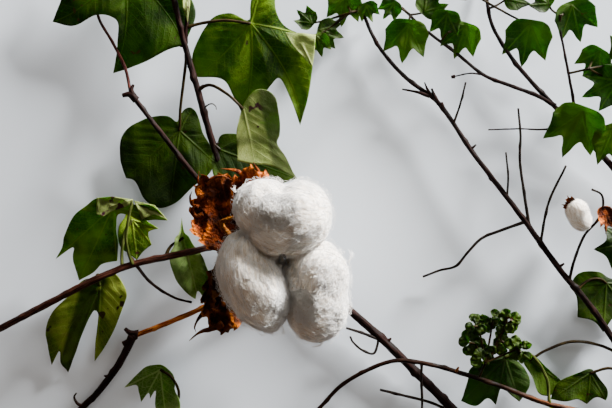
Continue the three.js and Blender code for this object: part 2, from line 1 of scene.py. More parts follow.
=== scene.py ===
# %% [markdown]
# # A cut branch of a cotton plant
# The branch lies on a pale floor under a camera that looks straight down. Its open boll sits where the
# boughs meet: three locks of white lint in a dry brown bur, with torn bracts behind it. The lesson builds
# every stem, leaf, bract and lock as a surface worked out with numpy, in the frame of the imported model.

# %% Load the frame
import math

import bpy
import numpy as np
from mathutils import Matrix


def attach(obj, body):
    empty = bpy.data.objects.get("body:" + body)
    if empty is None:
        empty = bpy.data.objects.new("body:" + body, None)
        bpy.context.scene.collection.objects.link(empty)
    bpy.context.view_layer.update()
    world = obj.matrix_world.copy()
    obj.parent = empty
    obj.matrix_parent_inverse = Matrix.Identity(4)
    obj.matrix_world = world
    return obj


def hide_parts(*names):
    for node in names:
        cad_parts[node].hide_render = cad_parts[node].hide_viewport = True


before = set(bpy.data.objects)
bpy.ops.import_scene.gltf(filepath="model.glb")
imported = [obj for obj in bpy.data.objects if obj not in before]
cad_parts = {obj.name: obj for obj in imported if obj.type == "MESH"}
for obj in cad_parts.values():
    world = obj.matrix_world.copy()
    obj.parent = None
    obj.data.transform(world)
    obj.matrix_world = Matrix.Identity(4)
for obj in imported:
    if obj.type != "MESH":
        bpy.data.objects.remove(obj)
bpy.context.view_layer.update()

# %% [markdown]
# ## Camera, light and floor
# The photographer stood under the branch and looked up at it. A branch on a table is seen from above in
# the same way, so the camera hangs straight over it. The drawing is in millimetres, with the camera over
# its zero point, and its point CENTRE is the middle of the frame. The sun is low and comes from the upper
# right, so a strong, far area light stands there. A weaker light above it stands for the bright sky, and a
# weak warm one at the lower left lights the shade. The world adds a little warm light from all round, and
# the camera alone sees it as a pale sky.

# %% Millimetres of the drawing to metres of the frame
CENTRE = np.array([6.094, -17.947, 0.06])
MM = 0.001


def to_frame(points):
    """Metres in the frame: the drawing's millimetres less the middle of the drawing, over a thousand."""
    return (np.asarray(points, float) - CENTRE) * MM


# %% Camera
CAMERA_HEIGHT = 390.0  # mm over the drawing's zero plane
SENSOR_WIDTH = 36.0
FOCAL_LENGTH = 50.2
scene = bpy.context.scene
lens = bpy.data.cameras.new("camera")
lens.sensor_width = SENSOR_WIDTH
lens.lens = FOCAL_LENGTH
camera = bpy.data.objects.new("camera", lens)
camera.location = to_frame([0.0, 0.0, CAMERA_HEIGHT])
scene.collection.objects.link(camera)
scene.camera = camera
print("camera height in mm:", round(1000 * camera.location.z, 1))


# %% Lights
LIGHT_AIM = [0, -10, 10]
SHADE_COLOUR, SHADE_STRENGTH = (1.0, 0.76, 0.52, 1.0), 0.045
SKY_COLOUR, SKY_STRENGTH = (0.78, 0.85, 0.94, 1.0), 0.9


def soft_light(name, place, size, power, colour):
    """A square area light at a place in mm, with its side in m and its power in W, that faces the boll."""
    data = bpy.data.lights.new(name, "AREA")
    data.size = size
    data.energy = power
    data.color = colour
    light = bpy.data.objects.new(name, data)
    light.location = to_frame(place)
    aim = bpy.data.objects.new(name + "_aim", None)
    aim.location = to_frame(LIGHT_AIM)
    light.rotation_euler = (aim.location - light.location).to_track_quat("-Z", "Y").to_euler()
    scene.collection.objects.link(light)


soft_light("low_sun", [1290, 1560, 300], 0.54, 460.0, (1.0, 0.965, 0.92))
soft_light("high_sky", [300, 320, 520], 0.40, 1.5, (1.0, 0.96, 0.90))
soft_light("warm_shade", [-420, -380, 300], 0.8, 0.75, (1.0, 0.60, 0.32))
world = bpy.data.worlds.new("pale_sky")
world.use_nodes = True
sky = world.node_tree
fill = sky.nodes["Background"]
behind = sky.nodes.new("ShaderNodeBackground")
for node, colour, strength in ((fill, SHADE_COLOUR, SHADE_STRENGTH), (behind, SKY_COLOUR, SKY_STRENGTH)):
    node.inputs["Color"].default_value = colour
    node.inputs["Strength"].default_value = strength
seen = sky.nodes.new("ShaderNodeLightPath")
either = sky.nodes.new("ShaderNodeMixShader")
sky.links.new(seen.outputs["Is Camera Ray"], either.inputs["Fac"])
sky.links.new(fill.outputs["Background"], either.inputs[1])
sky.links.new(behind.outputs["Background"], either.inputs[2])
sky.links.new(either.outputs["Shader"], sky.nodes["World Output"].inputs["Surface"])
scene.world = world

# %% Floor
FLOOR_SIDE = 2.4
FLOOR_HEIGHT = -0.0006
half = FLOOR_SIDE / 2
floor_corners = [(x * half, y * half, FLOOR_HEIGHT) for x, y in ((-1, -1), (1, -1), (1, 1), (-1, 1))]
floor_mesh = bpy.data.meshes.new("floor")
floor_mesh.from_pydata(floor_corners, [], [(0, 1, 2, 3)])
floor = bpy.data.objects.new("floor", floor_mesh)
scene.collection.objects.link(floor)
paper = bpy.data.materials.new("pale_paper")
paper.use_nodes = True
paper_shader = paper.node_tree.nodes["Principled BSDF"]
paper_shader.inputs["Base Color"].default_value = (0.70, 0.78, 0.88, 1.0)
paper_shader.inputs["Roughness"].default_value = 0.9
floor.data.materials.append(paper)
print("floor side in m:", FLOOR_SIDE)

# %% [markdown]
# ## The measurements
# The same named values draw the CAD solids, in mm and degrees. A limb has a line from base to tip and a
# radius at both. A leaf has the point where its veins meet, its lean, its stalk's line, and a rim that runs
# round it as directions and reaches, with a 1 where the rim is drawn out to a point. A crease is a point, a
# direction, a slope and a shade for what lies on its right, and sometimes how far that shade goes.

# %% Limbs
LIMBS = {
    "main_stem": ([[129, -158, 2.4], [106, -134.5, 2.6], [66, -92.5, 3.5], [35.5, -62, 5],
        [17.5, -46, 5.5], [-2.5, -29, 5], [-20, -14.5, 5], [-35, -1, 6]], [2.4, 1.6]),
    "upper_left_bough": ([[-34, -2, 6], [-47.5, 10.5, 9], [-62.5, 29.5, 13], [-77, 48.5, 15]], [1.3, 1]),
    "top_bough": ([[-27.5, -7.5, 5.5], [-35, 8.5, 8], [-41.5, 27, 10], [-48, 51, 13], [-54, 72.5, 14],
        [-58, 90.5, 16], [-61, 105, 15]], [1.6, 1.2]),
    "top_twig": ([[-53.5, 71, 13], [-52.8, 76, 14], [-51.8, 90, 15], [-50.5, 104, 14]], [0.95, 0.75]),
    "left_bough": ([[-20, -15.5, 5], [-32, -18, 6], [-40.5, -19, 8], [-60, -23, 14], [-76, -26.5, 16],
        [-90, -32, 17], [-113, -43.5, 14], [-136.5, -55.5, 9], [-150.5, -62.5, 5]], [1.5, 1.5]),
    "lower_left_bough": ([[-2.5, -30.5, 5], [-20, -36, 6], [-32, -41, 7], [-45, -46, 9],
        [-60.5, -52.5, 10], [-77, -59, 9]], [1.2, 1.1]),
    "lower_left_shoot": ([[-77, -59, 9], [-84, -72, 8], [-94, -85, 5], [-102.5, -93.5, 3],
        [-109, -102, 2]], [1.7, 1.4]),
    "left_twig": ([[-75, -26, 16], [-68.5, -34.5, 14], [-58, -41.5, 12.5], [-50.5, -43.5, 12.5]],
        [0.75, 0.5]),
    "stem_twig": ([[36, -62.5, 5], [27, -58.5, 7], [18, -55.5, 8]], [0.75, 0.55]),
    "withered_twig": ([[33, -60, 5], [30.5, -67, 7], [25.5, -65.5, 9], [21, -61.5, 11],
        [19.5, -58.5, 14]], [0.6, 0.45]),
    "right_bough": ([[104, -131.5, 2.6], [126.5, -121.5, 3], [144, -104.5, 4], [148, -81.5, 5],
        [132, -51.5, 6], [114, -29.5, 7], [97.5, -7, 8], [73.5, 25, 7], [59.5, 45.5, 6], [44.5, 57.5, 5],
        [32.5, 72, 4], [25.5, 88, 3], [22.5, 99.5, 2]], [1.8, 0.75]),
    "crossing_twig": ([[145.5, -100, 4], [127.5, -93.5, 9.5], [106.5, -88.5, 11], [86.5, -81, 10.5],
        [66.5, -74.5, 10], [53, -71, 10], [39.5, -70, 9], [25, -76, 6], [15.5, -82.5, 4],
        [5.5, -93.5, 2]], [1.25, 0.85]),
    "low_twig": ([[70, -96, 3], [56, -89.5, 5], [42.5, -86, 5], [33.5, -84, 4]], [0.7, 0.6]),
    "hanging_twig": ([[51.5, -71, 10], [51.5, -78.5, 9], [52, -88.5, 8], [52, -100.5, 2]], [0.65, 0.5]),
    "right_twig_1": ([[100, -10.5, 8], [97.5, 4, 9], [95.5, 19.5, 9], [96, 31, 8], [95.5, 43, 6]],
        [0.75, 0.5]),
    "right_twig_2": ([[90, 3, 8], [90, 12, 10], [89, 23, 10]], [0.5, 0.4]),
    "right_twig_3": ([[105, -17, 8], [108, 0.5, 10], [115.5, 17, 11]], [0.65, 0.5]),
    "right_twig_4": ([[98, -8, 8], [87, -12, 7], [79, -15.5, 6], [73, -21.5, 6], [67.5, -28, 5],
        [60.5, -30, 4], [53, -33, 3]], [0.75, 0.5]),
    "right_twig_5": ([[66, 35.5, 7], [69, 44.5, 8], [71.5, 54.5, 8]], [0.55, 0.4]),
    "upper_right_bough": ([[148, -85, 5], [159, -57, 4], [161.5, -27.5, 3], [152.5, -0.5, 3],
        [138.5, 17, 4], [123.5, 32.5, 5], [117, 38.5, 6]], [1.6, 1.3]),
    "upper_right_fork": ([[117, 38.5, 6], [101, 55.5, 6], [92, 66.5, 6], [83.5, 82, 5], [81.5, 102, 2]],
        [1.1, 0.75]),
    "upper_right_shoot": ([[112, 44, 6], [105, 48, 7], [91.5, 53, 8], [80.5, 57.5, 7], [67, 68, 7],
        [53.5, 78.5, 6], [43.5, 89, 3]], [0.95, 0.6]),
    "upper_right_twig": ([[122, 34, 5], [120, 44, 8], [116.5, 60, 10], [113, 80, 9]], [0.75, 0.5]),
    "boll_twig": ([[118, -35.5, 7], [119.5, -26, 9], [124, -14, 10], [131, -5, 11], [131, 4, 12],
        [126.5, 6.5, 12]], [0.7, 0.5]),
}
print("limbs:", len(LIMBS))

# %% Leaves
LEAVES = {
    "leaf_top_left": dict(at=[-80.5, 104, 10], lean=[1, 262], droop=1.5, swirl=[-12, 46], fold=0.20,
        stalk=[[-77, 48.5, 15], [-80.5, 60.5, 10], [-86.5, 72, 7], [-93.5, 85, 6.5], [-93, 98, 7],
        [-87, 104, 8]], rim=[[180, 28], [205, 30], [223, 40, 1], [232, 34], [239, 24], [252, 21.5],
        [264, 23], [269, 32], [274, 45.7, 1], [281, 43.4], [295, 41], [307, 40], [318, 42, 1], [336, 37],
        [350, 28], [18, 25], [45, 30, 1], [62, 18], [80, 3], [100, 3], [120, 18], [140, 28, 1],
        [160, 22]]),
    "leaf_top": dict(at=[-24.5, 80, 12], lean=[3, -80], droop=3, swirl=[-14, 50], fold=0.30,
        creases=[[-24.5, 80, -86, -0.07, 0.35], [-6, 62, -62, -0.07, 0.45]], stalk=[[-52.3, 78, 14],
        [-46, 79.5, 14.5], [-36, 81, 13.5]], rim=[[-147, 30], [-131, 34, 1], [-112, 27.7], [-98, 33],
        [-87, 40, 1], [-76, 33], [-67, 28.5], [-58.5, 27], [-54, 38], [-50, 50, 1], [-42, 41],
        [-29, 33.6], [-9, 29.5, 1], [-3, 15.5], [20, 12.5], [45, 15], [62, 26], [75, 34, 1], [86, 22],
        [92, 8], [120, 2], [153, 10], [170, 16.3], [187, 20.5]]),
    "leaf_folded": dict(at=[-27, 41, 21.5], lean=[11, -75], droop=2, fold=0.10, ribs=[-78],
        creases=[[-22.9, 25.2, 6, 0.45, 0.0], [-22.9, 25.6, 186, 0.0, 0.65, 4],
        [-18.6, 38, 100, 0.12, 1.0]], stalk=[[-47, 51, 13], [-42, 52, 17], [-34, 47.5, 21]],
        rim=[[-124, 2.4], [-108, 10], [-101, 15.5], [-97, 22.5, 1], [-81, 24], [-64, 27], [-52.5, 37, 1],
        [-48.5, 28], [-45, 20.5], [-36, 19.3], [-20, 16.8], [0, 15], [18, 14.8], [33, 13.8], [47, 11.8],
        [58, 9.6], [67, 6], [100, 1.5]]),
    "leaf_under": dict(at=[-57, 33, 5], lean=[0, 0], droop=2.5, fold=0.22, ribs=[221, 262, 318, 62],
        stalk=[[-52.7, 66, 13], [-54.5, 56, 9], [-56.5, 42, 6.5]], rim=[[127, 8], [160, 16], [183, 25.5],
        [204, 29.5], [221, 32.5, 1], [227, 30.5], [243, 34.8], [254, 36.2], [265, 33], [283, 26],
        [300, 24], [320, 21], [335, 15], [355, 10.5], [30, 10.2], [52, 11.5], [66, 11.6], [78, 9.7],
        [90, 6], [104, 4]]),
    "leaf_behind": dict(at=[-38, 24, 10], lean=[0, 0], droop=0, fold=0.15, stalk=[[-42.5, 30, 10.5],
        [-41, 27, 10.5]], rim=[[-140, 5], [-100, 13], [-70, 19], [-45, 25], [-29, 31], [-20.4, 36.5, 1],
        [-13, 31], [4, 22], [30, 12.5], [58, 8.7], [90, 6.5], [125, 3]]),
    "leaf_left": dict(at=[-84, -1, 17], lean=[17, 240], droop=1, fold=0.25, stalk=[[-76, -26.5, 17],
        [-78, -16, 20], [-76.5, -5, 21], [-75.5, 1, 20], [-79, 1, 18.5]], rim=[[152, 8], [180, 12.7],
        [192, 18.1], [205, 24.3], [211, 28], [216, 31], [220.5, 39, 1], [224, 27.5], [228, 30.5],
        [235, 36], [241, 40.5, 1], [249, 33], [254, 28], [268, 25.5, 1], [272, 18], [276, 9], [310, 4],
        [335, 14.2], [341, 18], [346, 24.6, 1], [2, 18], [8, 9], [90, 3]]),
    "leaf_young": dict(at=[-77, -7, 12], lean=[5, -60], droop=1, fold=0.15, stalk=[[-80.5, -28.5, 16.5],
        [-81, -20, 14], [-79.5, -11, 12.5]], rim=[[-156, 6.2], [-128, 10], [-112, 13.6], [-95, 15.5],
        [-84, 18, 1], [-72, 15], [-52.5, 14, 1], [-38, 9], [-18.5, 12.2, 1], [10, 5], [60, 3.5], [120, 4],
        [169, 3.5]]),
    "leaf_low_left": dict(at=[-92, -36.5, 9], lean=[7, 253], droop=1, gather=[253, 0.35, 46], fold=0.25,
        creases=[[-108.9, -62.9, 72, -0.04, 1.0, 10.5], [-111.6, -47.3, -87, -0.15, 0.35]],
        stalk=[[-90, -32, 15], [-92.5, -31.5, 12]], rim=[[193, 14], [202, 24], [209, 31.5], [222, 38.6],
        [230, 44, 1], [232, 36], [237, 40], [245.5, 44, 1], [247, 35], [247.5, 24], [250, 15],
        [256, 11.7], [263, 13], [265, 20], [265.5, 28], [267, 35.5, 1], [276, 28.6], [289, 21.6],
        [319, 14.2], [347, 12.5], [13, 10], [43, 8.8], [90, 3], [150, 7]]),
    "leaf_by_boll": dict(at=[-55, -15, 7.5], lean=[6, 280], droop=1, fold=0.25, ribs=[94, 283],
        creases=[[-59.4, -20, -72, -0.06, 0.6], [-45.8, -30, 106, -0.12, 0.85]],
        stalk=[[-62.5, -23.5, 11], [-60.5, -19, 9]], rim=[[94, 9, 1], [125, 2.8], [180, 3.4], [219, 4.9],
        [229, 8.6], [239, 11.5], [250, 15], [261, 20], [272, 25], [280, 28.8, 1], [284.5, 25],
        [288.5, 31.3, 1], [298, 25.3], [305, 21], [308, 16.8], [315, 12], [327, 5.2], [20, 2.6],
        [70, 2.4]]),
    "leaf_low": dict(at=[-65, -74, 9], lean=[7, 260], droop=2, fold=0.25, ribs=[207, 241, 275],
        stalk=[[-107, -99, 3], [-99, -108, 4.5], [-80, -110, 6], [-65, -100, 5], [-57, -86, 7],
        [-60, -77, 10]], rim=[[125, 3], [169, 6.6], [190, 10.3], [207, 18.6, 1], [214, 13], [226, 14.2],
        [239, 17.3, 1], [243, 12], [250, 14, 1], [256, 9.7], [262, 17.4], [275, 27, 1], [289, 23],
        [300, 17], [306, 11], [325, 8], [350, 5], [70, 2.5]]),
    "leaf_right_1": dict(at=[89, -69, 8], lean=[3, 262], droop=2, fold=0.25,
        creases=[[89, -69, -74, -0.2, 0.75]], stalk=[[108, -88.7, 11], [107.5, -78, 9], [100, -67, 8.5],
        [93, -67, 8.5]], rim=[[170, 3], [199, 16], [213, 19], [229, 28, 1], [241, 26], [250, 20],
        [261, 22, 1], [267, 13.5], [277, 16], [289, 21, 1], [303, 18], [318, 15], [331, 10.5], [347, 6],
        [60, 2.5]]),
    "leaf_right_2": dict(at=[101, -70.5, 5], lean=[1, -50], droop=1, fold=0.15, stalk=[[146, -74, 5],
        [138, -66, 5], [121, -62, 5], [108, -66, 5.5]], rim=[[-85, 7], [-76, 15], [-63, 18], [-52, 19],
        [-36, 25, 1], [-31, 14], [-20, 7], [60, 2.5], [180, 3]]),
    "leaf_right_3": dict(at=[127.5, -76, 6.8], lean=[1, 250], droop=1, fold=0.15, stalk=[[148, -84, 5],
        [144, -77, 7], [136, -73.5, 8]], rim=[[187, 9], [195, 15.5], [214, 21, 1], [228, 17], [242, 13],
        [265, 14, 1], [285, 11], [300, 14, 1], [310, 12], [318, 10], [330, 5], [70, 2]]),
    "leaf_right_4": dict(at=[121, -101, 3.5], lean=[-9, 130], droop=0, fold=0.1, stalk=[[144, -105, 4],
        [136, -105.5, 4], [128, -104, 4]], rim=[[10, 4], [35, 8, 1], [60, 6], [95, 8, 1], [115, 9.5],
        [135, 17, 1], [150, 14], [168, 16, 1], [195, 9], [225, 10, 1], [290, 3]]),
    "leaf_edge_1": dict(at=[136, -36, 3.4], lean=[0, 225], droop=0, fold=0.1, stalk=[[121, -39.5, 5.5],
        [128, -34.5, 4.2], [133, -34, 4]], rim=[[120, 6], [160, 14], [185, 17, 1], [205, 15],
        [230, 20, 1], [250, 18], [266, 22, 1], [285, 15], [310, 18, 1], [330, 11], [0, 12, 1], [60, 3]]),
    "leaf_edge_2": dict(at=[143, -18, 8], lean=[5, 180], droop=1, fold=0.15, stalk=[[161.5, -25, 3.5],
        [154, -17, 8], [147, -16, 9]], rim=[[60, 5], [90, 10, 1], [115, 8], [140, 12, 1], [165, 9],
        [190, 14, 1], [215, 10], [245, 13, 1], [275, 7], [320, 3]]),
}
print("leaves:", len(LEAVES))

# %% Sprays of small leaves
# Each has the limb it stands on and a row for each leaf: its place, direction and reach, and a 1 if dark.
SPRAYS = {
    "foliage_right_tip": ("right_bough", [[18, 94, 5, 262, 14], [27, 90, 5, 292, 8.5],
        [6.5, 78.5, 4.5, 345, 11.5, 1], [4.8, 75.5, 5.5, 285, 9.5, 1], [2.5, 81.5, 5, 140, 9, 1]]),
    "foliage_upper_right_1": ("upper_right_shoot", [[45.5, 80, 10.5, 262, 17.5], [39.5, 90, 9, 235, 9],
        [53, 86, 8, 50, 12]]),
    "foliage_upper_right_2": ("upper_right_shoot", [[71, 79, 10, 252, 15], [62.5, 84.5, 12, 262, 12]]),
    "foliage_upper_right_3": ("upper_right_fork", [[100, 80, 9, 262, 19], [90, 92, 7, 20, 12],
        [74, 96, 7, 150, 12]]),
    "foliage_upper_right_4": ("upper_right_twig", [[118, 88, 11, 290, 17], [108, 89, 10, 150, 10]]),
    "foliage_right_edge_1": ("upper_right_bough", [[123, 41, 10, 250, 22], [137, 34, 9, 285, 19]]),
    "foliage_right_edge_2": ("upper_right_twig", [[139, 55, 10, 205, 17], [131, 68, 9, 240, 13],
        [143, 64, 11, 95, 15]]),
    "foliage_low_right": ("crossing_twig", [[76.5, -54.3, 12, 140, 6, 1], [82.7, -52.5, 12, 95, 6, 1],
        [88.9, -53.4, 12, 60, 6.5, 1], [74.7, -61.8, 12, 190, 6.5, 1], [79.2, -65.8, 12.5, 235, 6, 1],
        [86.3, -60.5, 12.5, 300, 6.5, 1], [93.4, -64, 12.5, 330, 6.5, 1]]),
}
HALF_RIM = [[0, 1, 1], [6, 0.84], [12, 0.68], [20, 0.62], [27, 0.74], [34, 0.93, 1], [41, 0.80], [48, 0.70],
            [58, 0.63], [70, 0.60, 1], [82, 0.50], [96, 0.42], [112, 0.30], [128, 0.20]]
FULL_RIM = [[-turn, *rest] for turn, *rest in HALF_RIM[:0:-1]] + HALF_RIM
ROUND_RIM = [[-128, 0.5], [-80, 0.8], [-40, 0.95], [0, 1, 1], [40, 0.95], [80, 0.8], [128, 0.5]]
ROUND_SPRAY = "foliage_low_right"
print("sprays:", len(SPRAYS))

# %% The boll: an eye inside each lock and its swellings, each a middle and three half widths
BOLL_BASE = np.array([-30.0, -20.0, 15.0])
LOCKS = {
    "lint_upper": ([-10, -6, 41], [[-17.5, -1.5, 41, 12, 12, 18], [-1.6, -5, 42, 12, 14.5, 20],
        [-11, -12, 43, 13.5, 11.5, 18]]),
    "lint_left": ([-21, -31, 38], [[-24.5, -26, 38, 12.3, 16, 20], [-17, -39, 37, 11.4, 13, 18],
        [-18, -28, 38, 11, 12, 17]]),
    "lint_right": ([4, -35, 36], [[5.5, -29.5, 37, 12, 14, 19], [4.4, -44, 35, 13, 13.6, 18],
        [-1, -28, 36, 9.5, 11, 16]]),
}
SMALL_BOLL = ([121, -5.5, 11], [[120, -2.5, 11.5, 5, 4.8, 5.2], [122.5, -7.5, 10.5, 4.4, 4.6, 4.8]])
LOCK_SOFT = 1.8
# A core fills the creases between a lock's swellings: its middle, half widths, and its turn in degrees
CORES = {
    "lint_upper": [-9.5, -4.5, 42, 16.5, 12.8, 20.5, 0],
    "lint_left": [-20.8, -32.5, 38, 12.6, 19.5, 20.5, 22.8],
    "lint_right": [4.5, -36, 36, 12.5, 18.5, 18.5, 0],
    "small_boll": [121.2, -5, 11, 4.7, 6.6, 5, 20],
}
BRACTS = {
    "bract_upper": dict(teeth=[[62, 34], [70, 38], [80, 39], [91, 34], [102, 36], [112, 33]], lean=[-13, 85]),
    "bract_left": dict(teeth=[[102, 31], [109, 35], [116, 38], [123, 35], [131, 31], [139, 29], [147, 25],
        [155, 24], [164, 19], [174, 15], [184, 10]], lean=[-18, 150]),
    "bract_lower": dict(teeth=[[221, 17], [229, 24], [236, 29], [243, 34], [251, 37], [259, 38.5],
        [268, 36], [277, 33]], lean=[-7, 250]),
}
BRACT_BODY = 0.96
BRACT_FOOT = 3.5
BRACT_DROP = 3
BUR_RADIUS = 5
BUR_HEIGHT = 5
VALVE_RIM = [[-150, 3], [-80, 6], [-40, 9], [-18, 17], [0, 25, 1], [18, 17], [40, 9], [80, 6], [150, 3]]
VALVE_DIRECTIONS = [52, -115, -36]
print("locks:", len(LOCKS), "bracts:", len(BRACTS))

# %% [markdown]
# ## Skins from rings
# Stems, leaves, locks and bracts can all be one kind of surface: rings of points, each ring joined to the
# next by quads, and closed at both ends on a single point. A stem's rings run along it, a leaf's rings run
# from the middle of one side out over the rim to the middle of the other, and a lock's rings are like a
# globe's. One function therefore closes and orients them all, and one makes the Blender mesh.


# %% A closed skin
def volume_of(points, quads, tris):
    """Signed volume: a sixth of the sum, over triangles, of the first corner on the cross of the others."""
    sides = np.vstack([quads[:, [0, 1, 2]], quads[:, [0, 2, 3]], tris])
    a, b, c = (points[sides[:, k]] for k in range(3))
    return float((a * np.cross(b, c)).sum() / 6)


def ring_faces(rows, cols):
    """Corner numbers of the quads between rings and of the triangles round the first and the last point."""
    at = 1 + np.arange(rows * cols).reshape(rows, cols)
    after = np.roll(at, -1, axis=1)
    quads = np.stack([at[:-1], after[:-1], after[1:], at[1:]], axis=-1).reshape(-1, 4)
    first = np.column_stack([np.zeros(cols, int), after[0], at[0]])
    last = np.column_stack([np.full(cols, rows * cols + 1), at[-1], after[-1]])
    return quads, np.vstack([first, last])


def skin(rings, poles, fields=None, finish=0):
    """A closed skin. Vertex order is first pole, all rings, last pole. Quads join ring i to ring i + 1,
    fans close the ends, and all faces are turned over where the signed volume comes out below nothing.
    A field is (values on the rings, values on the poles), and finish is the skin's material number."""
    rows, cols = rings.shape[:2]
    points = np.vstack([poles[:1], rings.reshape(-1, 3), poles[1:]])
    quads, tris = ring_faces(rows, cols)
    if volume_of(points, quads, tris) < 0:
        quads, tris = quads[:, ::-1], tris[:, ::-1]
    laid = {}
    for name, (values, ends) in (fields or {}).items():
        wide = values.shape[2]
        laid[name] = np.vstack([ends[:1], values.reshape(-1, wide), ends[1:]])
    numbers = np.broadcast_to(finish, (len(quads) + len(tris),)) if np.ndim(finish) == 0 else finish
    return dict(points=points, quads=quads, tris=tris, fields=laid, finish=numbers)


# %% A piece from one or more skins
def joined(skins):
    """All skins as one set of arrays: each skin's corner numbers grow by the points before it."""
    start = np.cumsum([0] + [len(s["points"]) for s in skins])
    names = sorted({name for s in skins for name in s["fields"]})
    fields = {}
    for name in names:
        wide = next(s["fields"][name].shape[1] for s in skins if name in s["fields"])
        fields[name] = np.vstack([s["fields"].get(name, np.zeros((len(s["points"]), wide))) for s in skins])
    cut = [len(s["quads"]) for s in skins]
    return dict(
        points=np.vstack([s["points"] for s in skins]),
        quads=np.vstack([s["quads"] + start[i] for i, s in enumerate(skins)]),
        tris=np.vstack([s["tris"] + start[i] for i, s in enumerate(skins)]),
        finish=np.concatenate([s["finish"][:n] for s, n in zip(skins, cut)]
                              + [s["finish"][n:] for s, n in zip(skins, cut)]),
        fields=fields)


tally = {"pieces": 0, "triangles": 0}


def make_piece(name, skins, finishes, nodes):
    """A mesh object from skins, in the frame, with its materials; it stands for the named CAD nodes."""
    whole = joined(skins)
    quads, tris = whole["quads"], whole["tris"]
    mesh = bpy.data.meshes.new(name + "_grown")
    mesh.vertices.add(len(whole["points"]))
    mesh.vertices.foreach_set("co", to_frame(whole["points"]).ravel())
    mesh.loops.add(4 * len(quads) + 3 * len(tris))
    mesh.loops.foreach_set("vertex_index", np.concatenate([quads.ravel(), tris.ravel()]).astype(np.int32))
    mesh.polygons.add(len(quads) + len(tris))
    starts = np.concatenate([4 * np.arange(len(quads)), 4 * len(quads) + 3 * np.arange(len(tris))])
    mesh.polygons.foreach_set("loop_start", starts.astype(np.int32))
    for material in finishes:
        mesh.materials.append(material)
    mesh.polygons.foreach_set("material_index", whole["finish"].astype(np.int32))
    for label, values in whole["fields"].items():
        kind, key = ("FLOAT", "value") if values.shape[1] == 1 else ("FLOAT_VECTOR", "vector")
        mesh.attributes.new(label, kind, "POINT").data.foreach_set(key, values.astype(np.float32).ravel())
    mesh.update(calc_edges=True)
    mesh.shade_smooth()
    piece = bpy.data.objects.new(name + "_grown", mesh)
    scene.collection.objects.link(piece)
    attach(piece, "root")
    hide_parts(*nodes)
    tally["pieces"] += 1
    tally["triangles"] += 2 * len(quads) + len(tris)
    return piece


# %% [markdown]
# ## Seeded hills
# Bark, lint and leaves all need small unevenness that comes out the same on each run. A sum of sine waves
# that run in seeded directions is smooth, never repeats over such a small piece, and needs no texture.

# %% Hills
TURN = 2 * math.pi


def hills(points, size, seed, waves=9):
    """Smooth random heights of about -1 to 1: sine waves in seeded directions, of lengths near size mm."""
    rng = np.random.default_rng(seed)
    ways = rng.normal(size=(waves, 3))
    ways /= np.linalg.norm(ways, axis=1, keepdims=True) * size * rng.uniform(0.7, 1.4, (waves, 1))
    return np.sin(TURN * (points @ ways.T + rng.uniform(0, 1, waves))).sum(-1) / math.sqrt(waves)


def unit(vectors):
    """Each vector over its own length."""
    return vectors / np.maximum(np.linalg.norm(vectors, axis=-1, keepdims=True), 1e-9)


sample = hills(np.random.default_rng(0).uniform(0, 50, (1000, 3)), 5, 1)
print("hills from", round(float(sample.min()), 2), "to", round(float(sample.max()), 2))


# %% [markdown]
# ## A smooth line through points
# Stems bend gently through the points that were measured on them. The curve is the same centripetal one
# that the CAD limbs follow: each stretch is a cubic whose end slopes come from the neighbouring points,
# weighed by the square root of their distances. It is then divided evenly by length.


# %% Curves
def curve_through(points, steps=24):
    """Points on the centripetal curve: in each stretch the ends and end slopes, weighed by the cubics
    2t3 - 3t2 + 1, t3 - 2t2 + t, 3t2 - 2t3 and t3 - t2."""
    p = np.asarray(points, float)
    p = np.vstack([2 * p[0] - p[1], p, 2 * p[-1] - p[-2]])
    gap = np.maximum(np.linalg.norm(np.diff(p, axis=0), axis=1), 1e-6) ** 0.5
    d0, d1, d2 = gap[:-2, None], gap[1:-1, None], gap[2:, None]
    a, b, c, d = p[:-3], p[1:-2], p[2:-1], p[3:]
    slope1 = ((b - a) / d0 - (c - a) / (d0 + d1) + (c - b) / d1) * d1
    slope2 = ((c - b) / d1 - (d - b) / (d1 + d2) + (d - c) / d2) * d1
    t = np.linspace(0, 1, steps, endpoint=False)[None, :, None]
    b, c, slope1, slope2 = (v[:, None, :] for v in (b, c, slope1, slope2))
    dense = ((2 * t**3 - 3 * t**2 + 1) * b + (t**3 - 2 * t**2 + t) * slope1
             + (3 * t**2 - 2 * t**3) * c + (t**3 - t**2) * slope2)
    return np.vstack([dense.reshape(-1, p.shape[1]), p[-2]])


def evenly(line, spacing):
    """The line divided into equal steps of about spacing, and the distance along it at each point."""
    run = np.concatenate([[0], np.cumsum(np.linalg.norm(np.diff(line, axis=0), axis=1))])
    count = max(4, int(round(run[-1] / spacing)) + 1)
    along = np.linspace(0, run[-1], count)
    return np.column_stack([np.interp(along, run, line[:, k]) for k in range(line.shape[1])]), along


NEARLY_UP = [0.02, 0.01, 1.0]


def frames_along(path):
    """Side and up vectors across a path: side is the run crossed with nearly up, and up is side on run."""
    run = unit(np.gradient(path, axis=0))
    side = unit(np.cross(run, NEARLY_UP))
    return run, side, np.cross(side, run)


stem_along = evenly(curve_through(LIMBS["main_stem"][0]), 1.0)[1]
print("main stem length in mm:", round(float(stem_along[-1]), 1))


# %% [markdown]
# ## Stems
# A cotton stem is a thin, dark, red-brown rod. It swells a little at each node, where a leaf stood and
# left a scar, and fine ridges run along it. It could be a bevelled curve, but that has one round section.
# Here rings are carried along the line, and each ring's radius is the taper times the swellings, with
# lengthways ridges added. The field "straight" gives each point's place on the stem as if it were laid
# out straight, so that the bark's streaks follow every bend.


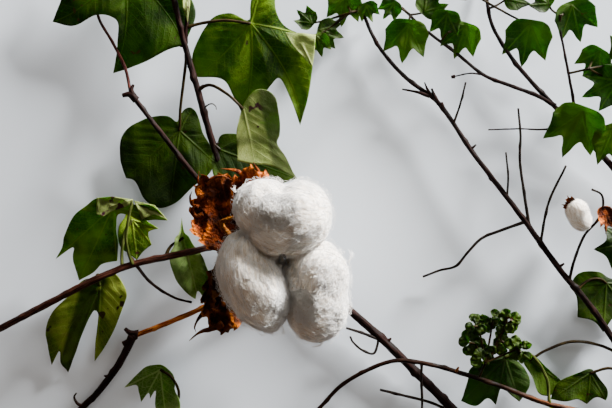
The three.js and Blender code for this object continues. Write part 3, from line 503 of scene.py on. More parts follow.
# %% A stem skin
def stem(line, radius, sides=18, spacing=0.9, seed=1, knuckles=(), relief=0.05, finish=0):
    """Rings round a curve: radius = taper x (1 + swelling at each knuckle) + ridges, and domed ends.
    A knuckle is (share of the length, how much wider, half width in mm, side angle in turns)."""
    path, along = evenly(curve_through(line), spacing)
    run, side, up = frames_along(path)
    turn = np.arange(sides) / sides * TURN
    taper = np.interp(along, [0, along[-1]], radius)[:, None]
    wide = np.ones((len(path), sides))
    for share, gain, width, where in knuckles:
        near = np.exp(-((along - share * along[-1]) / width) ** 2)[:, None]
        wide = wide + gain * near * (0.55 + 0.45 * np.cos(turn - where * TURN))[None, :]
    length = np.broadcast_to(along[:, None], wide.shape)
    straight = np.stack([np.cos(turn) * taper, np.sin(turn) * taper, length], axis=-1)
    ridges = hills(straight * [1, 1, 0.12], 0.9 * float(np.mean(radius)), seed) * relief
    lumps = hills(straight * [1, 1, 0.6], 3.1, seed + 50) * relief * 0.8
    reach = taper * wide + (ridges + lumps) * taper
    rings = (path[:, None, :] + reach[..., None] * (np.cos(turn)[None, :, None] * side[:, None, :]
                                                    + np.sin(turn)[None, :, None] * up[:, None, :]))
    dome = 0.25 * np.array(radius)
    poles = np.array([path[0] - run[0] * dome[0], path[-1] + run[-1] * dome[1]])
    ends = np.array([[0, 0, 0], [0, 0, along[-1]]])
    return skin(rings, poles, {"straight": (straight, ends)}, finish)


trial = stem(*LIMBS["main_stem"])
print("main stem skin:", len(trial["points"]), "points")

# %% [markdown]
# ## Node groups for the finishes
# Four effects come back in several materials, so each is a group with named inputs and outputs: streaks
# along a stem, the veins of a leaf, blotches, and the fine lines of combed lint. Each puts out masks or
# heights only. The shaders stay in the materials.


# %% Small helpers for node trees
NUMBER, PLACE = "NodeSocketFloat", "NodeSocketVector"
SOCKET = bpy.types.NodeSocket


def feed(tree, socket, value):
    """An input takes a link from another socket, or a plain value."""
    if isinstance(value, SOCKET):
        tree.links.new(value, socket)
    else:
        socket.default_value = value


def add(tree, kind, feeds=None, **options):
    """One node: options are its own settings, and feeds are numbers or sockets for its inputs."""
    made = tree.nodes.new(kind)
    for key, value in options.items():
        setattr(made, key, value)
    for key, value in (feeds or {}).items():
        feed(tree, made.inputs[key], value)
    return made


def maths(operation, first, second):
    """One Math node and its result, in the tree of whichever value is a socket."""
    tree = (first if isinstance(first, SOCKET) else second).id_data
    return add(tree, "ShaderNodeMath", {0: first, 1: second}, operation=operation).outputs[0]


def plus(first, second):
    """first + second."""
    return maths("ADD", first, second)


def times(first, second):
    """first x second."""
    return maths("MULTIPLY", first, second)


def rest(value):
    """1 - value."""
    return maths("SUBTRACT", 1.0, value)


def ramp(value, low, high):
    """A smooth step: 0 below low, 1 above high."""
    feeds = {"Value": value, "From Min": low, "From Max": high}
    return add(value.id_data, "ShaderNodeMapRange", feeds, interpolation_type="SMOOTHSTEP").outputs["Result"]


def blend(share, first, second):
    """A colour between two colours, each a socket or three numbers."""
    tree = share.id_data
    made = add(tree, "ShaderNodeMix", {0: share}, data_type="RGBA")
    for key, value in ((6, first), (7, second)):
        feed(tree, made.inputs[key], value if isinstance(value, SOCKET) else (*value, 1.0))
    return made.outputs[2]


def noise(place, scale, detail, **more):
    """A noise texture's value at a place, from 0 to 1."""
    feeds = {"Vector": place, "Scale": scale, "Detail": detail, **more}
    return add(place.id_data, "ShaderNodeTexNoise", feeds).outputs["Fac"]


def field(tree, name, kind="Vector"):
    """A field of the mesh, by its name."""
    return add(tree, "ShaderNodeAttribute", attribute_name=name).outputs[kind]


# %% Making and placing node groups
def new_group(name, inputs, outputs):
    """A shader node group with named sockets, and its input and output nodes."""
    group = bpy.data.node_groups.new(name, "ShaderNodeTree")
    for label, kind, value in inputs:
        socket = group.interface.new_socket(label, in_out="INPUT", socket_type=kind)
        if value is not None:
            socket.default_value = value
    for label in outputs:
        group.interface.new_socket(label, in_out="OUTPUT", socket_type=NUMBER)
    return group, group.nodes.new("NodeGroupInput").outputs, group.nodes.new("NodeGroupOutput").inputs


def placed(tree, group, **feeds):
    """A group node in a material, with its feeds by socket name."""
    made = tree.nodes.new("ShaderNodeGroup")
    made.node_tree = group
    for key, value in feeds.items():
        feed(tree, made.inputs[key], value)
    return made.outputs


# %% Streaks along a stem
STREAKS, given, out = new_group("Streaks along a stem", [("Straight", PLACE, None), ("Finer", NUMBER, 1.0)],
                                ["Streaks", "Pores"])
stretched = add(STREAKS, "ShaderNodeMapping", {"Vector": given["Straight"], "Scale": (1.0, 1.0, 0.11)})
scaled = add(STREAKS, "ShaderNodeVectorMath", {0: stretched.outputs[0], "Scale": given["Finer"]},
             operation="SCALE")
grain = noise(scaled.outputs[0], 1.5, 4.0, Roughness=0.6)
STREAKS.links.new(ramp(grain, 0.40, 0.66), out["Streaks"])
squat = add(STREAKS, "ShaderNodeMapping", {"Vector": given["Straight"], "Scale": (1.5, 1.5, 0.8)})
cells = add(STREAKS, "ShaderNodeTexVoronoi", {"Vector": squat.outputs[0], "Scale": 0.9})
STREAKS.links.new(rest(ramp(cells.outputs["Distance"], 0.10, 0.24)), out["Pores"])
print("group:", STREAKS.name)

# %% Veins of a leaf
# Side veins stand VEIN_GAP mm apart, and each runs VEIN_SLANT mm along the main vein for each mm across.
VEIN_GAP = 4.6
VEIN_SLANT = 0.85
VEINS, given, out = new_group("Leaf veins", [("Veins", PLACE, None), ("Spacing", NUMBER, VEIN_GAP),
                                             ("Place", PLACE, None)], ["Main", "Side", "Net"])
parts = add(VEINS, "ShaderNodeSeparateXYZ", {0: given["Veins"]}).outputs
along, across = parts["X"], parts["Y"]
thin = plus(0.30, times(along, -0.004))
VEINS.links.new(rest(ramp(maths("DIVIDE", across, thin), 0.7, 2.0)), out["Main"])
slant = maths("SUBTRACT", along, times(across, VEIN_SLANT))
bent = plus(slant, times(maths("POWER", across, 2.0), -0.012))
wavy = plus(bent, times(noise(given["Place"], 140.0, 2.0), 1.6))
phase = maths("PINGPONG", maths("DIVIDE", wavy, given["Spacing"]), 0.5)
line = rest(ramp(phase, 0.02, 0.075))
VEINS.links.new(times(line, rest(ramp(across, 5.0, 12.0))), out["Side"])
net = add(VEINS, "ShaderNodeTexVoronoi", {"Vector": given["Place"], "Scale": 620.0},
          feature="DISTANCE_TO_EDGE")
VEINS.links.new(rest(ramp(net.outputs["Distance"], 0.02, 0.16)), out["Net"])
print("group:", VEINS.name)

# %% Blotches
BLOTCHES, given, out = new_group("Blotches", [("Place", PLACE, None), ("Scale", NUMBER, 60.0),
                                              ("Amount", NUMBER, 0.5)], ["Soft", "Spots"])
BLOTCHES.links.new(ramp(noise(given["Place"], given["Scale"], 3.0), 0.40, 0.62), out["Soft"])
dots = noise(given["Place"], times(given["Scale"], 3.1), 2.0)
over = maths("SUBTRACT", dots, maths("SUBTRACT", 0.85, given["Amount"]))
BLOTCHES.links.new(ramp(over, 0.0, 0.035), out["Spots"])
print("group:", BLOTCHES.name)

# %% Combed lint
COMBED, given, out = new_group("Combed lint", [("Comb", PLACE, None), ("Scale", NUMBER, 1.0)],
                               ["Lines", "Curls"])
long_way = add(COMBED, "ShaderNodeMapping", {"Vector": given["Comb"], "Scale": (1.5, 0.12, 0.5)})
lines = noise(long_way.outputs[0], given["Scale"], 5.0, Roughness=0.7, Distortion=0.35)
COMBED.links.new(lines, out["Lines"])
COMBED.links.new(noise(given["Comb"], 1.1, 6.0, Roughness=0.7, Distortion=1.6), out["Curls"])
print("group:", COMBED.name)


# %% [markdown]
# ## Finishes
# Bark is dull and nearly black on old wood, red-brown or orange on young wood, with streaks and small pale
# pores; on the orange bough the orange is partly painted light, the glow of the sun through the bark. A leaf
# is a soft sheet that lets light through, so it gets some subsurface light, veins that are paler than the
# blade, blotches, and painted shade beyond some of its creases. The dry bracts mix dark brown and orange,
# with a painted highlight on the tops of their folds and at their rims. Lint is nearly pure white and
# soft: light goes into it and comes out again, so it needs subsurface light and sheen, and its bump follows
# the combed hairs.


# %% Start of a material
def finish_of(name, settings):
    """A new material, its tree and its Principled shader, with the settings on the shader's inputs."""
    material = bpy.data.materials.new(name)
    material.use_nodes = True
    shader = material.node_tree.nodes["Principled BSDF"]
    for label, value in settings.items():
        shader.inputs[label].default_value = value
    return material, material.node_tree, shader


def bump(tree, shader, height, distance, strength):
    """A bump from a height, fed to the shader's normal."""
    made = add(tree, "ShaderNodeBump", {"Height": height, "Distance": distance, "Strength": strength})
    tree.links.new(made.outputs[0], shader.inputs["Normal"])


# %% Bark
BARK_GLOSS = 0.05


def bark(name, dark, middle, light, roughness, fade=None):
    """Bark: dark and middle brown in streaks, lighter pores, and a bump of both. A fade is two distances
    along the stem in mm, between which the colour goes over to the dark one."""
    material, tree, shader = finish_of(name, {"Specular IOR Level": BARK_GLOSS})
    straight = field(tree, "straight")
    streaks = placed(tree, STREAKS, Straight=straight, Finer=1.0)
    broad = placed(tree, STREAKS, Straight=straight, Finer=0.35)
    body = blend(broad["Streaks"], dark, middle)
    lined = blend(times(streaks["Streaks"], 0.55), body, light)
    coloured = blend(times(streaks["Pores"], 0.4), lined, light)
    if fade:
        run = add(tree, "ShaderNodeSeparateXYZ", {0: straight}).outputs["Z"]
        coloured = blend(times(ramp(run, *fade), 0.9), coloured, dark)
    tree.links.new(coloured, shader.inputs["Base Color"])
    tree.links.new(plus(roughness - 0.06, times(streaks["Streaks"], 0.2)), shader.inputs["Roughness"])
    bump(tree, shader, plus(streaks["Streaks"], times(streaks["Pores"], 0.6)), 0.00012, 0.8)
    return material


OLD_BARK = bark("dark_bark", (0.0012, 0.0006, 0.0005), (0.0042, 0.0017, 0.0014), (0.028, 0.0095, 0.0075),
                0.55)
RED_BARK = bark("red_bark", (0.0040, 0.0012, 0.0008), (0.022, 0.0056, 0.0032), (0.095, 0.033, 0.020), 0.5)
# The orange bough's bark is partly its own red-orange and partly painted light: the glow of the low sun
# through it, bright enough to show inside the boll's shadow.
ORANGE_AND_GLOW_BARK = bark("orange_and_glow_bark", (0.060, 0.0100, 0.0016), (0.330, 0.064, 0.0100), (0.75, 0.270, 0.050), 0.45)
FADING_BARK = bark("fading_bark", (0.0020, 0.0010, 0.0008), (0.070, 0.016, 0.004), (0.24, 0.078, 0.018), 0.5,
                   (22.0, 62.0))
GREY_BARK = bark("grey_bark", (0.0018, 0.0013, 0.0012), (0.0075, 0.0055, 0.0048), (0.036, 0.024, 0.018), 0.6)
print("bark finishes made")


# %% Leaf finishes
LEAF_GLOSS = 0.09
SHADE_SHARE = 0.94
BROWN_SPOT = (0.030, 0.009, 0.005)


def leaf_finish(name, deep, light, vein, spot=BROWN_SPOT, amount=0.15, veined=0.4, roughness=0.58):
    """Leaf: two greens in clouds, paler veins, a fine net, brown spots, and a bump of the veins. The shade
    field
    is painted shade: where it is 1, the colour goes most of the way to a dark green."""
    material, tree, shader = finish_of(name, {
        "Roughness": roughness, "Specular IOR Level": LEAF_GLOSS, "Subsurface Weight": 0.2,
        "Subsurface Radius": (0.6, 1.0, 0.2), "Subsurface Scale": 0.0015})
    place = add(tree, "ShaderNodeTexCoord").outputs["Object"]
    lines = placed(tree, VEINS, Veins=field(tree, "veins"), Spacing=VEIN_GAP, Place=place)
    marks = placed(tree, BLOTCHES, Place=place, Scale=55.0, Amount=amount)
    body = blend(marks["Soft"], deep, light)
    netted = blend(times(lines["Net"], 0.12), body, vein)
    sided = blend(times(lines["Side"], veined * 0.4), netted, vein)
    ribbed = blend(times(lines["Main"], veined), sided, vein)
    spotted = blend(marks["Spots"], ribbed, spot)
    # Painted shade: the colour goes towards a dark green as far as the shade field says.
    shade = times(field(tree, "shade", "Fac"), SHADE_SHARE)
    darker = blend(shade, spotted, tuple(0.3 * value for value in deep))
    tree.links.new(darker, shader.inputs["Base Color"])
    height = plus(times(lines["Side"], 0.5), times(lines["Net"], 0.3))
    bump(tree, shader, plus(height, lines["Main"]), 0.0002, 0.6)
    return material


# Each leaf finish: deep green, light green and vein, then what differs from the usual spots and veins
GREENS = {
    "bright_leaf": [(0.0090, 0.0280, 0.0004), (0.080, 0.150, 0.0012), (0.13, 0.19, 0.004)],
    "deep_leaf": [(0.0030, 0.0115, 0.0002), (0.0190, 0.0420, 0.0006), (0.036, 0.064, 0.002)],
    "dark_leaf": [(0.0030, 0.0095, 0.0002), (0.0180, 0.0370, 0.0007), (0.028, 0.048, 0.002)],
    "spray_leaf": [(0.0050, 0.0190, 0.0004), (0.0300, 0.0640, 0.0010), (0.044, 0.082, 0.002)],
    "grey_leaf": [(0.012, 0.030, 0.005), (0.050, 0.088, 0.020), (0.09, 0.13, 0.04)],
    # The pale green on the next line is a much paler copy of the leaf green, for the leaves inside the boll's
    # shadow: painted light.
    "painted_light_leaf": [(0.050, 0.110, 0.018), (0.270, 0.390, 0.125), (0.34, 0.46, 0.17)],
    "spotted_leaf": [(0.040, 0.070, 0.006), (0.185, 0.235, 0.030), (0.25, 0.30, 0.05),
                     (0.022, 0.010, 0.004), 0.21],
    "pale_underside": [(0.080, 0.108, 0.026), (0.190, 0.235, 0.070), (0.22, 0.26, 0.090),
                       (0.03, 0.008, 0.015), 0.21, 0.45, 0.65],
    "fresh_leaf": [(0.024, 0.054, 0.0015), (0.125, 0.190, 0.007), (0.19, 0.26, 0.03), BROWN_SPOT, 0.18],
    "leaf_upper_side": [(0.006, 0.020, 0.001), (0.030, 0.065, 0.002), (0.06, 0.10, 0.008)],
}
LEAF = {name: leaf_finish(name, *row) for name, row in GREENS.items()}
STALK = bark("leaf_stalk", (0.0025, 0.0012, 0.0007), (0.0110, 0.0050, 0.0014), (0.045, 0.030, 0.006), 0.42)
GREEN_STALK = bark("green_stalk", (0.009, 0.015, 0.002), (0.028, 0.040, 0.006), (0.08, 0.09, 0.02), 0.45)
RED_STALK = bark("red_stalk", (0.0040, 0.0006, 0.0008), (0.024, 0.0032, 0.0036), (0.11, 0.026, 0.018), 0.4)
print("leaf finishes:", len(LEAF))


# %% Dry bracts and bur
def dry_finish(name, dark, middle, light):
    """Dry papery bract: dark brown and orange in clouds, lighter along its ribs, and a painted highlight on
    the tops of its folds and at its rim.
    """
    material, tree, shader = finish_of(name, {"Roughness": 0.7, "Specular IOR Level": LEAF_GLOSS})
    place = add(tree, "ShaderNodeTexCoord").outputs["Object"]
    lines = placed(tree, VEINS, Veins=field(tree, "veins"), Spacing=2.6, Place=place)
    marks = placed(tree, BLOTCHES, Place=place, Scale=130.0, Amount=0.3)
    body = blend(marks["Soft"], dark, middle)
    patchy = ramp(noise(place, 95.0, 2.0), 0.42, 0.62)
    ribbed = blend(times(lines["Main"], 0.12), body, light)
    # Painted highlight: the tops of the crumpled folds and the rim take the light colour, in patches.
    lit = times(ramp(field(tree, "crest", "Fac"), 0.55, 0.95), plus(0.12, times(patchy, 0.8)))
    highlighted = blend(lit, ribbed, light)
    spotted = blend(times(marks["Spots"], 0.8), highlighted, dark)
    tree.links.new(spotted, shader.inputs["Base Color"])
    bump(tree, shader, plus(times(lines["Net"], 0.6), noise(place, 900.0, 4.0)), 0.0004, 0.8)
    return material


DRY_ORANGE = dry_finish("dry_orange", (0.016, 0.0022, 0.0003), (0.125, 0.019, 0.0005), (0.56, 0.13, 0.003))
DRY_DARK = dry_finish("dry_dark", (0.006, 0.0014, 0.0005), (0.070, 0.014, 0.001), (0.38, 0.10, 0.004))
DRY_BROWN = dry_finish("dry_brown", (0.016, 0.005, 0.002), (0.060, 0.019, 0.004), (0.20, 0.085, 0.016))
AMBER = dry_finish("amber", (0.08, 0.018, 0.001), (0.26, 0.08, 0.003), (0.55, 0.25, 0.02))
print("dry finishes made")


# %% Lint
def lint_finish(name, shade, bright):
    """Lint: two whites along the combed lines, soft inner light, sheen, and a bump of lines and curls."""
    material, tree, shader = finish_of(name, {
        "Roughness": 0.85, "Specular IOR Level": 0.25, "Subsurface Weight": 0.35,
        "Subsurface Radius": (1.0, 0.92, 0.85), "Subsurface Scale": 0.0012, "Sheen Weight": 0.25,
        "Sheen Roughness": 0.5})
    hairs = placed(tree, COMBED, Comb=field(tree, "comb"), Scale=1.0)
    mixed = plus(times(hairs["Lines"], 0.85), times(hairs["Curls"], 0.15))
    tree.links.new(blend(ramp(mixed, 0.36, 0.60), shade, bright), shader.inputs["Base Color"])
    bump(tree, shader, mixed, 0.0009, 0.7)
    return material


LINT = lint_finish("white_lint", (0.62, 0.52, 0.40), (0.93, 0.88, 0.805))
BRIGHT_HAIRS = lint_finish("bright_hairs", (0.88, 0.86, 0.83), (1.0, 0.995, 0.98))
print("lint finish made")

# %% [markdown]
# ## Build the stems
# Every limb of the CAD gets its own relief mesh. The knuckles sit where leaves once stood: about every
# 20 mm, on alternate sides, and one more at the foot. Short spurs and hooked tendrils stand where the
# photograph shows them, and each is a thin stem of its own in the limb's piece.

# %% Spurs: the limb, the line in mm, the radius at both ends
SPURS = [
    ("upper_left_bough", [[-74.6, 45.6, 14.9], [-77.4, 48.2, 15.3], [-80.6, 47.6, 15.3]], [1.7, 0.9]),
    ("upper_left_bough", [[-75.6, 46.8, 15], [-76.6, 50, 15.4], [-75.8, 52.4, 15.4]], [1.5, 0.6]),
    ("top_bough", [[-45.3, 42, 12.5], [-43.4, 43.6, 13.6], [-41.3, 44.2, 14], [-39.8, 43, 14],
        [-39.5, 41.6, 13.6]], [0.45, 0.15]),
    ("top_bough", [[-47.6, 50.4, 13], [-45.2, 52.6, 13.4]], [1.0, 0.45]),
    ("top_bough", [[-53, 70, 14], [-55.4, 69.2, 14.6]], [0.9, 0.3]),
    ("top_bough", [[-50.2, 59, 13.6], [-52.3, 60.6, 14]], [0.8, 0.3]),
    ("top_bough", [[-41, 25.5, 10], [-38.8, 27.4, 10.6]], [0.9, 0.35]),
    ("lower_left_shoot", [[-75, -58, 9.2], [-78.4, -57.4, 9.5], [-80.8, -55.6, 9.4]], [1.9, 0.8]),
    ("lower_left_shoot", [[-76.4, -58.6, 9.2], [-79.4, -61.4, 9.2], [-81.6, -62.4, 9.2]], [2.0, 1.2]),
    ("left_bough", [[-75.4, -26.4, 16.4], [-76, -23.4, 17.4]], [1.0, 0.4]),
    ("left_bough", [[-40, -19, 8.4], [-41.4, -16.6, 9.2]], [0.9, 0.35]),
    ("lower_left_shoot", [[-88, -77.5, 7], [-90.6, -77, 7.4]], [1.0, 0.35]),
    ("lower_left_shoot", [[-100.5, -91.6, 3.4], [-103.4, -90.2, 4], [-104.8, -87.2, 4.2],
        [-103.8, -85.4, 4.2]], [0.9, 0.3]),
    ("right_bough", [[113, -28.5, 7.4], [115.6, -26.6, 8]], [1.0, 0.4]),
    ("right_bough", [[74, 24.6, 7.2], [76.2, 26.6, 7.8]], [0.8, 0.3]),
    ("right_bough", [[57.5, 47.2, 6], [54.6, 51.4, 6.6], [53.2, 54.6, 7]], [0.95, 0.35]),
    ("right_bough", [[55.5, 48.5, 6], [50.4, 50.2, 6.4], [43.2, 51.6, 6.4]], [1.0, 0.35]),
    ("right_bough", [[59.8, 45.0, 6], [57.6, 48.6, 7], [56.4, 51.8, 7.2]], [1.15, 0.5]),
    ("right_bough", [[61.5, 43.0, 6.2], [60.6, 45.4, 7.4]], [1.3, 0.8]),
    ("upper_right_shoot", [[80, 57.8, 7], [74, 58.6, 7.4], [66.4, 57.2, 7.2]], [0.42, 0.3]),
    ("upper_right_shoot", [[66.8, 57.2, 7.2], [65.2, 57.0, 7.2]], [0.9, 0.7]),
    ("upper_right_bough", [[119, 36.6, 5.8], [108, 33.6, 6.5], [96, 33.8, 6.5], [82, 33.4, 6]],
        [0.5, 0.3]),
    ("crossing_twig", [[66.8, -74.6, 10.3], [67.8, -72.4, 11]], [0.9, 0.35]),
    ("main_stem", [[36, -62.4, 5.4], [38.4, -60.4, 6]], [1.2, 0.4]),
]
THIN = 1.0  # a limb of a smaller radius in mm gets fewer sides
NODE_GAP = 19  # mm of limb for each knuckle
GREY_LIMBS = ("right_twig", "withered", "hanging", "low_twig", "stem_twig", "boll_twig")
BARK_OF = {"crossing_twig": FADING_BARK, "left_bough": RED_BARK, "lower_left_bough": ORANGE_AND_GLOW_BARK}


# %% Make each limb
def limb_piece(name):
    """The stem skin of a limb with seeded knuckles and its spurs, as one piece."""
    line, radius = LIMBS[name]
    seed = 100 + list(LIMBS).index(name)
    rng = np.random.default_rng(seed)
    length = evenly(curve_through(line), 1.0)[1][-1]
    count = max(1, int(length / NODE_GAP))
    shares = (np.arange(count) + 0.5 + rng.uniform(-0.2, 0.2, count)) / count
    knuckles = [(s, rng.uniform(0.22, 0.45), rng.uniform(0.9, 1.6), 0.5 * (i % 2) + rng.uniform(-0.1, 0.1))
                for i, s in enumerate(shares)]
    if name == "left_bough":
        knuckles = [(share, 0.4 * gain, 1.6 * width, where) for share, gain, width, where in knuckles]
    knuckles.append((0.0, 0.45, 2.2 * radius[0], 0.0))
    sides = 12 if radius[0] < THIN else 20
    skins = [stem(line, radius, sides, 0.85, seed, knuckles)]
    for owner, spur, ends in SPURS:
        if owner == name:
            skins.append(stem(spur, ends, 10, 0.4, seed + 7, relief=0.09))
    finish = BARK_OF.get(name, GREY_BARK if name.startswith(GREY_LIMBS) else OLD_BARK)
    return make_piece(name, skins, [finish], [name])


for name in LIMBS:
    limb_piece(name)
print("limbs made:", dict(tally))

# %% [markdown]
# ## Leaves
# A cotton leaf is a hand of three to five pointed lobes. One main vein runs from the stalk to each point, and
# side veins leave it at a slant. The blade is folded along its main veins, a little puckered between the
# side veins, and waved at the rim. It could be cut from a flat plane, but the veins and the rim have to
# agree. So the grid runs round the leaf and out from the point where the veins meet, and each height
# is a function of the distance along and across the nearest main vein. The field "veins" carries the same
# two distances to the material, so colour and relief fall on the same lines.


# %% The blade's plane
def swung(angle, reach, spec):
    """A direction in degrees and a reach on the flat blade: gathered towards one direction, then swirled."""
    toward, pull, pull_reach = spec.get("gather", (0, 0, 1))
    turn, turn_reach = spec.get("swirl", (0, 1))
    off = (angle - toward + 540) % 360 - 180
    way = np.radians(angle - off * pull * (reach / pull_reach) ** 1.5 + turn * (reach / turn_reach) ** 2)
    return np.stack([reach * np.cos(way), reach * np.sin(way)], axis=-1)


def unswung(flat, spec):
    """The direction and reach of a flat point, with the swirl and the gathering taken out again."""
    toward, pull, pull_reach = spec.get("gather", (0, 0, 1))
    turn, turn_reach = spec.get("swirl", (0, 1))
    reach = np.linalg.norm(flat, axis=-1)
    way = np.degrees(np.arctan2(flat[..., 1], flat[..., 0])) - turn * (reach / turn_reach) ** 2
    off = ((way - toward + 540) % 360 - 180) / (1 - pull * (reach / pull_reach) ** 1.5)
    return toward + off, reach


def smooth_rim(spec, spacing):
    """The rim as directions and reaches: a smooth curve between points, broken where the rim has a tip."""
    rim = np.array([[r[0], r[1], r[2] if len(r) > 2 else 0] for r in spec["rim"]], float)
    flat = swung(rim[:, 0], rim[:, 1], spec)
    tips = np.flatnonzero(rim[:, 2])
    tips = tips if len(tips) else np.array([0])
    pieces = []
    for first, last in zip(tips, np.append(tips[1:], tips[0] + len(rim))):
        corner = flat[np.arange(first, last + 1) % len(rim)]
        pieces.append(evenly(curve_through(corner, 12), spacing)[0][:-1])
    angle, reach = unswung(np.vstack(pieces), spec)
    steps = (np.diff(angle, append=angle[0]) + 540) % 360 - 180
    return angle[0] + np.concatenate([[0], np.cumsum(steps)[:-1]]), reach, rim[tips, 0]


def tilted(spec):
    """The blade's three axes: the plane is turned about a level line until it sinks by its lean."""
    lean, toward = np.radians(spec["lean"])
    down = np.array([math.cos(toward), math.sin(toward), 0.0])
    level = np.array([-down[1], down[0], 0.0])
    sunk = math.cos(lean) * down - math.sin(lean) * np.array([0, 0, 1.0])
    normal = math.sin(lean) * down + math.cos(lean) * np.array([0, 0, 1.0])
    across_x = sunk * down[0] + level * level[0]
    across_y = sunk * down[1] + level * level[1]
    return across_x, across_y, normal


# %% The blade's skin
DROOP_REACH = 40  # mm out at which the droop is its full value
FOLD_REACH = 9  # mm across over which a fold rises
CREASE_SOFT = 1.5  # mm over which a crease is rounded
WHOLE_SIDE = 99  # a shade without an end goes farther than any leaf


def blade(spec, thickness=0.32, rings=22, spacing=0.95, seed=1, relief=None, finishes=(0, 1)):
    """Closed thin skin: height = -droop x (reach/40)2 + fold across the nearest main vein + puckers
    between side veins + slope x distance past each crease + rim waves + the ridge of the vein + the relief.
    Top and under side are one thickness apart. Ribs name the directions of the main veins."""
    angle, rim_reach, tips = smooth_rim(spec, spacing)
    tips = np.array(spec.get("ribs", tips), float)
    share = (np.arange(1, rings + 1) / rings) ** 0.85
    reach = share[:, None] * rim_reach[None, :]
    turned = np.broadcast_to(angle, reach.shape)
    flat = swung(turned, reach, spec)
    gap = np.abs((turned[..., None] - tips + 540) % 360 - 180)
    near = np.radians(np.minimum(gap.min(axis=-1), 90))
    along, across = reach * np.cos(near), reach * np.sin(near)
    span = float(rim_reach.max())
    ground = np.concatenate([flat, np.zeros(reach.shape + (1,))], axis=-1)
    edge = np.broadcast_to(share[:, None], reach.shape)
    fold = spec.get("fold", 0.2)
    height = -spec.get("droop", 0) * (reach / DROOP_REACH) ** 2
    height = height + fold * FOLD_REACH * (1 - np.exp(-across / FOLD_REACH))
    puckers = np.sin(TURN * (along - VEIN_SLANT * across) / VEIN_GAP + 1.5 * hills(ground, 16.0, seed + 2))
    height = height + 0.13 * puckers * np.clip(across / 2.5, 0, 1) * (1 - 0.5 * edge)
    shade = np.zeros(reach.shape)
    # Each crease bends the blade by its slope and paints shade on its right side, as far as its band.
    for x, y, way, slope, dark, *band in spec.get("creases", []):
        off_x, off_y = flat[..., 0] + spec["at"][0] - x, flat[..., 1] + spec["at"][1] - y
        past = off_x * math.sin(math.radians(way)) - off_y * math.cos(math.radians(way))
        height = height + slope * CREASE_SOFT * np.logaddexp(0, past / CREASE_SOFT)
        shaded = band[0] if band else WHOLE_SIDE
        within = np.clip(0.5 + past / 1.6, 0, 1) * np.clip(0.5 + (shaded - past) / 2.5, 0, 1)
        shade = np.maximum(shade, dark * within)
    height = height + 0.9 * hills(ground, 0.75 * span, seed) * edge**1.5
    height = height + 0.35 * hills(ground, 9.0, seed + 1) * edge**3
    height = height + 0.30 * np.exp(-((across / 0.5) ** 2)) * (1 - 0.7 * edge)
    # The painted highlight that a dry finish reads: for a plain blade it grows towards the rim.
    crest = edge**2
    if relief is not None:
        rise, crest = relief(ground, edge, turned)
        height = height + rise
    across_x, across_y, normal = tilted(spec)
    middle = np.array(spec["at"], float)
    top = middle + flat[..., :1] * across_x + flat[..., 1:] * across_y
    top = top + (height + thickness / 2)[..., None] * normal
    under = top - thickness * normal
    grid = np.concatenate([top, under[::-1]])
    poles = np.array([middle + normal * (thickness / 2 + 0.3), middle - normal * (thickness / 2 - 0.3)])
    veins = np.stack([along, across, reach], axis=-1)
    fields = {"veins": (np.concatenate([veins, veins[::-1]]), np.zeros((2, 3))),
              "shade": (np.concatenate([shade, shade[::-1]])[..., None], np.zeros((2, 1))),
              "crest": (np.concatenate([crest, crest[::-1]])[..., None], np.zeros((2, 1)))}
    cols = reach.shape[1]
    quads_side = np.repeat([finishes[0]] * rings + [finishes[1]] * (rings - 1), cols)
    fans_side = np.repeat([finishes[0], finishes[1]], cols)
    return skin(grid, poles, fields, np.concatenate([quads_side, fans_side]))


trial = blade(LEAVES["leaf_top"])
print("top leaf:", len(trial["quads"]) * 2 + len(trial["tris"]), "triangles")

# %% [markdown]
# ## Stalks, folded flaps and the leaf pieces
# Each leaf stands on a thin stalk that thickens at both ends. Where a leaf's edge is turned over, its pale
# underside shows, so a small flap lies on the blade with that finish.

# %% Flaps: corners of the turned-over edge in mm, and the height of its middle
FLAPS = {
    "leaf_top_left": [([[-53.4, 94], [-50.8, 94], [-50.6, 87], [-51.6, 79.0], [-53.6, 85]], 17.6)],
    "leaf_top": [([[-9.5, 75.6], [-3.5, 75.6], [4.3, 74.7], [3.8, 67.0], [2.9, 60.5], [-2.8, 66.5],
                   [-6.6, 70.8]], 13.8)],
    "leaf_left": [([[-91, 2.7], [-84, 3.3], [-75, 2], [-76, -0.5], [-84, -3], [-88, -5.5],
                    [-91, -4.5]], 19.6),
                  ([[-75, 1.5], [-65.8, -0.5], [-60, -7], [-66, -4.5], [-71.4, -6.8], [-73.5, -1]], 19.2)],
}
STALK_FINISH = {"leaf_top_left": RED_STALK, "leaf_left": GREEN_STALK, "leaf_young": GREEN_STALK,
                "leaf_low_left": GREEN_STALK, "leaf_right_1": GREEN_STALK}
BLADE_FINISH = {
    "leaf_top_left": "deep_leaf", "leaf_top": "bright_leaf", "leaf_left": "bright_leaf",
    "leaf_folded": "pale_underside", "leaf_young": "fresh_leaf", "leaf_right_4": "fresh_leaf",
    "leaf_low_left": "spotted_leaf", "leaf_by_boll": "painted_light_leaf", "leaf_low": "painted_light_leaf",
    "leaf_right_1": "grey_leaf",
}


# %% Make each leaf
def flap_skin(corners, height, seed):
    """A turned-over edge: a small blade round the middle of its corners."""
    corners = np.array(corners, float)
    middle = corners.mean(axis=0)
    off = corners - middle
    angle = np.degrees(np.arctan2(off[:, 1], off[:, 0]))
    order = np.argsort(angle)
    rim = [[angle[i], float(np.hypot(*off[i])), 1] for i in order]
    farthest = max(rim, key=lambda corner: corner[1])
    spec = dict(at=[*middle, height], lean=[0, 0], fold=0.0, rim=rim, ribs=[farthest[0]])
    return blade(spec, 0.3, 8, 0.7, seed, finishes=(3, 3))


